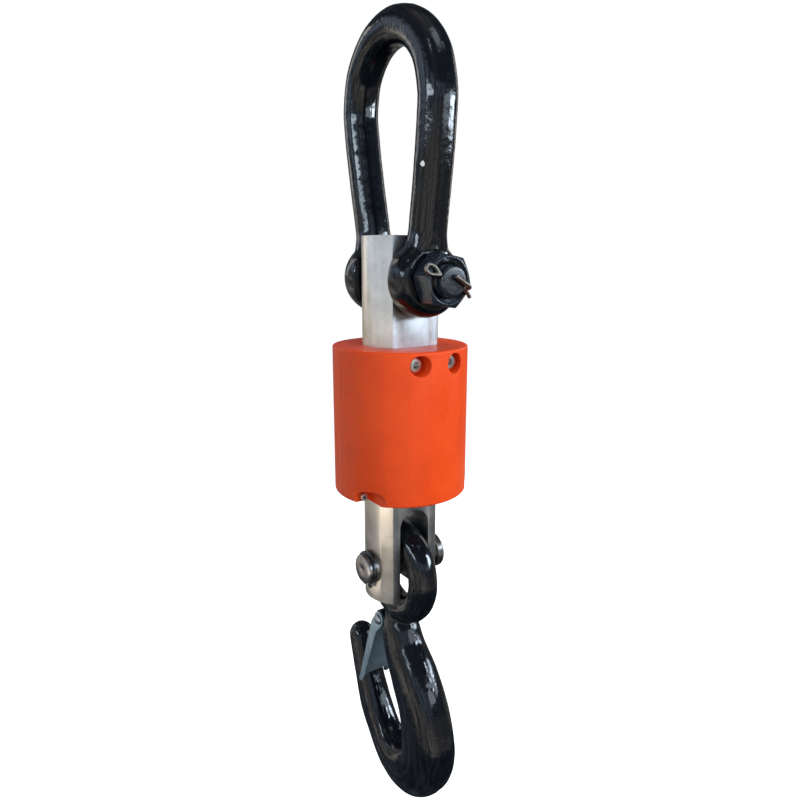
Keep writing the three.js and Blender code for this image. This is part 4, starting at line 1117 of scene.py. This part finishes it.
def socket_screw(name, node, radius, seat, tip, y, z, side):
    """A socket head cap screw with a knurled head."""
    head_radius = radius * 1.7
    top = seat + radius * 2
    corners = [(radius, tip), (radius, seat), (head_radius, seat), (head_radius, top), (0, top)]
    levels = rounded(corners, 0.35, 3)
    rings = []
    for level_radius, x in [(0, tip), *levels]:
        on_head = seat + 0.6 < x < top - 0.3 and level_radius > radius + 0.4
        ring = []
        for k in range(72):
            a = 2 * math.pi * k / 72
            r = level_radius - (0.09 if k % 2 and on_head else 0)
            ring.append((side * x, y + r * math.cos(a), z + r * math.sin(a)))
        rings.append(ring)
    made = loft(name, rings)
    outline = [(y + u, z + v) for u, v in hexagon(radius * 1.55)]
    cut(made, prism("socket", outline, "X", side * (seat + radius * 0.8), side * (top + 1)))
    soften_edges(made, 0.1, 1, 50)
    place(made, "scale_body", "stainless", look["stainless"], node, angle=30)


def housing_screws():
    """M5 screws in the upper recesses of both shells, and M3 screws in the front shell's notches."""
    for side, out in SIDES.items():
        for hand, across in HANDS.items():
            name = "screw_%s_%s" % (side, hand)
            spot = (across * UPPER_SCREW_Y, upper_screw_z, out)
            socket_screw("cap_" + name, "housing_" + name, 2.5, UPPER_SEAT_X + 0.3, 10.5, *spot)
    for hand, across in HANDS.items():
        name = "screw_" + hand
        spot = (across * NOTCH_Y, notch_z, 1)
        socket_screw("shell_" + name, "joint_" + name, 1.5, NOTCH_SEAT_X + 0.3, -9, *spot)


def rear_turned(name, profile, z, segments=64, closed=False):
    """A turned piece on the rear of the housing. The profile's distances are from the axis, outwards."""
    return revolve(name, "X", [(r, -x) for r, x in profile], (0, 0, z), segments, closed)


def power_button():
    """The button, dished in the middle, and the bezel round it."""
    face = drum_radius + 1.4
    key = [(0, face - 0.5), (2.2, face - 0.35), (3.6, face), (4.4, face), (5, face - 0.6), (5, 41),
           (6.2, 40.8), (6.2, 40), (0, 40)]
    button = rear_turned("power_key", key, button_z)
    place(button, "button", "black_rubber", look["rubber"], "power_button")
    seat = drum_radius - 1.0
    band = rounded([(5.4, seat), (5.4, seat + 1.5), (7.7, seat + 1.5), (7.7, seat), (5.4, seat)], 0.35, 3)
    bezel = rear_turned("key_bezel", band[:-1], button_z, closed=True)
    place(bezel, "scale_body", "stainless", look["stainless"], "button_bezel")


def status_lamp():
    """A domed lens with a flange inside the wall."""
    skin = drum_radius
    lens = [(0, skin + 0.7), (0.9, skin + 0.6), (1.7, skin + 0.2), (2.2, skin - 0.7),
            (2.2, 41.1), (3, 41.1), (3, 38.5), (0, 38.5)]
    lamp = rear_turned("lamp_dome", lens, upper_screw_z, 40)
    place(lamp, "scale_body", "lamp_lens", look["lamp"], "status_lamp")


def charge_socket():
    """The charging socket, its pin in a round well, and the cap that plugs it."""
    seat = drum_radius - 1.2
    well = [(0, 31), (5.7, 31), (5.7, seat), (7.6, seat), (7.6, seat + 0.9), (7.3, seat + 1.2),
            (3.2, seat + 1.2), (2.9, seat + 0.9), (2.9, 33), (1, 33), (1, seat - 1.5), (0, seat - 1)]
    socket = at_charge(revolve("charge_jack", "X", well))
    place(socket, "scale_body", "black_plastic", look["black_plastic"], "charge_socket")
    face = seat + 1.8
    plug = [(0, 38), (2.5, 38), (2.5, face), (7.4, face), (7.4, face + 1.2), (6.9, face + 1.7),
            (6, face + 2), (4.2, face + 2.15), (2.6, face + 1.7), (0, face + 1.6)]
    cover = at_charge(revolve("jack_cover", "X", plug))
    place(cover, "cap", "black_rubber", look["rubber"], "charge_cap")


# ---- CAD nodes that stay, with better materials ----

KEPT = {
    "foil": ["strain_gauge_%s_%s" % (side, level) for side in SIDES for level in ("upper", "lower")],
    "stainless": ["gauge_cover_front", "gauge_cover_rear", "radio_module", "charge_socket_nut"],
    "rubber": ["gauge_lead", "top_seal", "bottom_seal", "antenna", "battery_lead"],
    "brass": ["joint_insert_" + hand for hand in HANDS],
    "board": ["transmitter_board"],
    "zinc": ["board_screw_%d" % number for number in range(1, 5)],
    "black_plastic": ["scale_processor", "gauge_lead_plug", "battery_lead_plug", "battery_holder",
                      "power_switch"],
    "wrap": ["battery_cell_" + hand for hand in HANDS],
}


def dress_kept_nodes():
    for kind, names in KEPT.items():
        for name in names:
            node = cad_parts[name]
            if not node.material_slots:
                node.data.materials.append(look[kind])
            for slot in node.material_slots:
                slot.link = "OBJECT"
                slot.material = look[kind]


# ---- Stage: floor, light and camera ----

OBJECT_MIDDLE = Vector((0, 0, -0.25))
FLOOR_DROP = 0.3
FLOOR_REACH = 20000


def floor_material():
    """A pale matt floor that glows slightly, so that it stays light far from the lamps."""
    paint = Paint("pale_floor", Roughness=0.9, Specular_IOR_Level=0.1)
    paint.set(Emission_Color=(1, 1, 1), Emission_Strength=0.86)
    grain = paint.add("TexNoise", Scale=3).outputs["Fac"]
    paint.colour(paint.mixed(grain, (0.80, 0.80, 0.80), (0.86, 0.86, 0.86)))
    return paint.material


def build_floor():
    """A slab below the part. It lights nothing and isn't mirrored, so the part keeps its own contrast."""
    level = (cad_low.z - FLOOR_DROP) / MM
    reach = FLOOR_REACH
    slab = block("studio_floor", (-reach, -reach, level - 20), (reach, reach, level))
    slab.data.materials.append(floor_material())
    slab.visible_glossy = False
    slab.visible_diffuse = False


# The studio's colours by the height of the direction, from straight down (-1) to straight up (1).
ROOM_BY_HEIGHT = [
    (-1.00, (0.100, 0.125, 0.150)),
    (-0.49, (0.120, 0.145, 0.180)),
    (-0.43, (0.750, 0.720, 0.670)),
    (-0.36, (1.450, 1.380, 1.250)),
    (-0.22, (0.950, 0.900, 0.810)),
    (0.04, (0.750, 0.720, 0.670)),
    (0.14, (0.420, 0.520, 0.660)),
    (0.21, (0.800, 1.000, 1.300)),
    (0.40, (0.700, 0.850, 1.100)),
    (0.48, (0.130, 0.150, 0.180)),
    (0.85, (0.120, 0.125, 0.130)),
    (1.00, (0.600, 0.550, 0.500)),
]
BRIGHT_SIDE = math.radians(-75)


def build_world():
    """White behind everything the camera sees, and a graded room for reflections and soft light."""
    world = bpy.data.worlds.new("studio_room")
    world.use_nodes = True
    bpy.context.scene.world = world
    room = Nodes(world.node_tree, "Generated")
    height = room.add("SeparateXYZ", Vector=room.where).outputs["Z"]
    grade = room.add("ValToRGB", Fac=room.ramp(height, -1, 1))
    stops = grade.color_ramp.elements
    while len(stops) < len(ROOM_BY_HEIGHT):
        stops.new(0.5)
    for stop, (level, colour) in zip(stops, ROOM_BY_HEIGHT):
        stop.position = (level + 1) / 2
        stop.color = (*colour, 1)
    brightest = (math.cos(BRIGHT_SIDE), math.sin(BRIGHT_SIDE), 0)
    towards = room.maths("DOT_PRODUCT", room.where, brightest, "VectorMath")
    side = room.ramp(towards, -0.60, 0.85, 0.25, 1.15, "SMOOTHSTEP")
    clutter = room.add("TexNoise", Vector=room.where, Scale=4.5, Detail=3).outputs["Fac"]
    strength = room.maths("MULTIPLY", side, room.ramp(clutter, 0.40, 0.60, 0.35, 1.45))
    felt = world.node_tree.nodes["Background"]
    room.put(felt.inputs["Color"], grade.outputs["Color"])
    room.put(felt.inputs["Strength"], strength)
    seen = room.add("Background", Color=(1, 1, 1))
    mix = room.add("MixShader", Fac=room.add("LightPath").outputs["Is Camera Ray"])
    room.put(mix.inputs[1], felt.outputs["Background"])
    room.put(mix.inputs[2], seen.outputs["Background"])
    room.put(world.node_tree.nodes["World Output"].inputs["Surface"], mix.outputs["Shader"])


def softbox(name, azimuth, elevation, distance, size, radiance, colour, mirrored=True):
    """An area light that faces the object's middle. Azimuth is in degrees from +X towards +Y.

    Its power follows from its radiance. Unless it is mirrored, shiny surfaces don't show it.
    """
    light = bpy.data.lights.new(name, "AREA")
    light.shape = "RECTANGLE"
    light.size, light.size_y = size
    light.energy = radiance * math.pi * size[0] * size[1]
    light.color = colour
    made = bpy.data.objects.new(name, light)
    a, e = math.radians(azimuth), math.radians(elevation)
    out = Vector((math.cos(a) * math.cos(e), math.sin(a) * math.cos(e), math.sin(e)))
    made.location = OBJECT_MIDDLE + out * distance
    made.rotation_mode = "QUATERNION"
    made.rotation_quaternion = (-out).to_track_quat("-Z", "Y")
    made.visible_glossy = mirrored
    made.visible_camera = False
    bpy.context.scene.collection.objects.link(made)


def build_lights():
    """Long soft windows that the gloss mirrors, and fills that it doesn't."""
    cool = (0.74, 0.87, 1.0)
    warm = (1.0, 0.90, 0.78)
    plain = (1.0, 0.98, 0.95)
    softbox("window_right", 40, 15, 1.6, (1.8, 0.38), 5, cool)
    softbox("window_right_core", 55, 15, 1.5, (0.5, 0.26), 30, cool)
    softbox("window_left", -86, 22, 1.6, (1.3, 0.18), 14, cool)
    softbox("window_top", 20, 68, 1.4, (0.6, 0.5), 3, cool)
    softbox("bounce_low", -80, -25, 1.0, (1.1, 0.22), 3.2, warm)
    softbox("window_high", -60, 52, 1.5, (0.22, 0.16), 7, cool)
    softbox("window_back", 100, 20, 1.6, (0.25, 0.9), 2.5, warm)
    softbox("window_rear", -160, 20, 1.6, (0.25, 0.8), 2, warm)
    softbox("fill_front", 14, 28, 1.7, (1.1, 1.1), 4.7, plain, mirrored=False)
    softbox("fill_rear", 190, 30, 1.7, (1.1, 1.1), 2.4, plain, mirrored=False)
    softbox("fill_back", 95, 25, 1.7, (1.0, 1.0), 2.0, (1.0, 1.0, 1.0), mirrored=False)


def light_only(lights, pieces):
    """Lets these lights fall on these pieces alone, as flags round a lamp do."""
    receivers = bpy.data.collections.new("lit_" + lights[0])
    for piece in pieces:
        receivers.objects.link(bpy.data.objects[piece])
    for light in lights:
        bpy.data.objects[light].light_linking.receiver_collection = receivers


CAMERA_AZIMUTH = -33.42  # degrees from +X towards +Y
CAMERA_DISTANCE = 0.4366  # from the load cell's axis
CAMERA_HEIGHT = -0.1259
CAMERA_PITCH = -12.25
CAMERA_LENS = 29.57


def build_camera():
    """A camera at about the bolt's height that looks slightly down."""
    data = bpy.data.cameras.new("camera")
    data.lens = CAMERA_LENS
    data.sensor_width = 36
    made = bpy.data.objects.new("camera", data)
    a = math.radians(CAMERA_AZIMUTH)
    made.location = (CAMERA_DISTANCE * math.cos(a), CAMERA_DISTANCE * math.sin(a), CAMERA_HEIGHT)
    made.rotation_euler = (math.radians(90 + CAMERA_PITCH), 0, a + math.radians(90))
    data.clip_start = 0.01
    bpy.context.scene.collection.objects.link(made)
    bpy.context.scene.camera = made


build_camera()
build_world()
build_floor()
build_lights()
bpy.context.scene.view_settings.view_transform = "Standard"

shackle_bow()
shackle_bolt()
shackle_nut()
split_pin()
load_cell()
hook_pin()
circlip()
eye_hook()
hook_latch()
latch_rivet()
latch_spring()
front_shell()
rear_shell()
housing_screws()
power_button()
status_lamp()
charge_socket()
dress_kept_nodes()
light_only(("window_left", "window_right_core"), ("bow_forging", "hook_forging", "nut", "bolt_shank"))
light_only(("bounce_low",), ("load_cell", "headed_pin"))
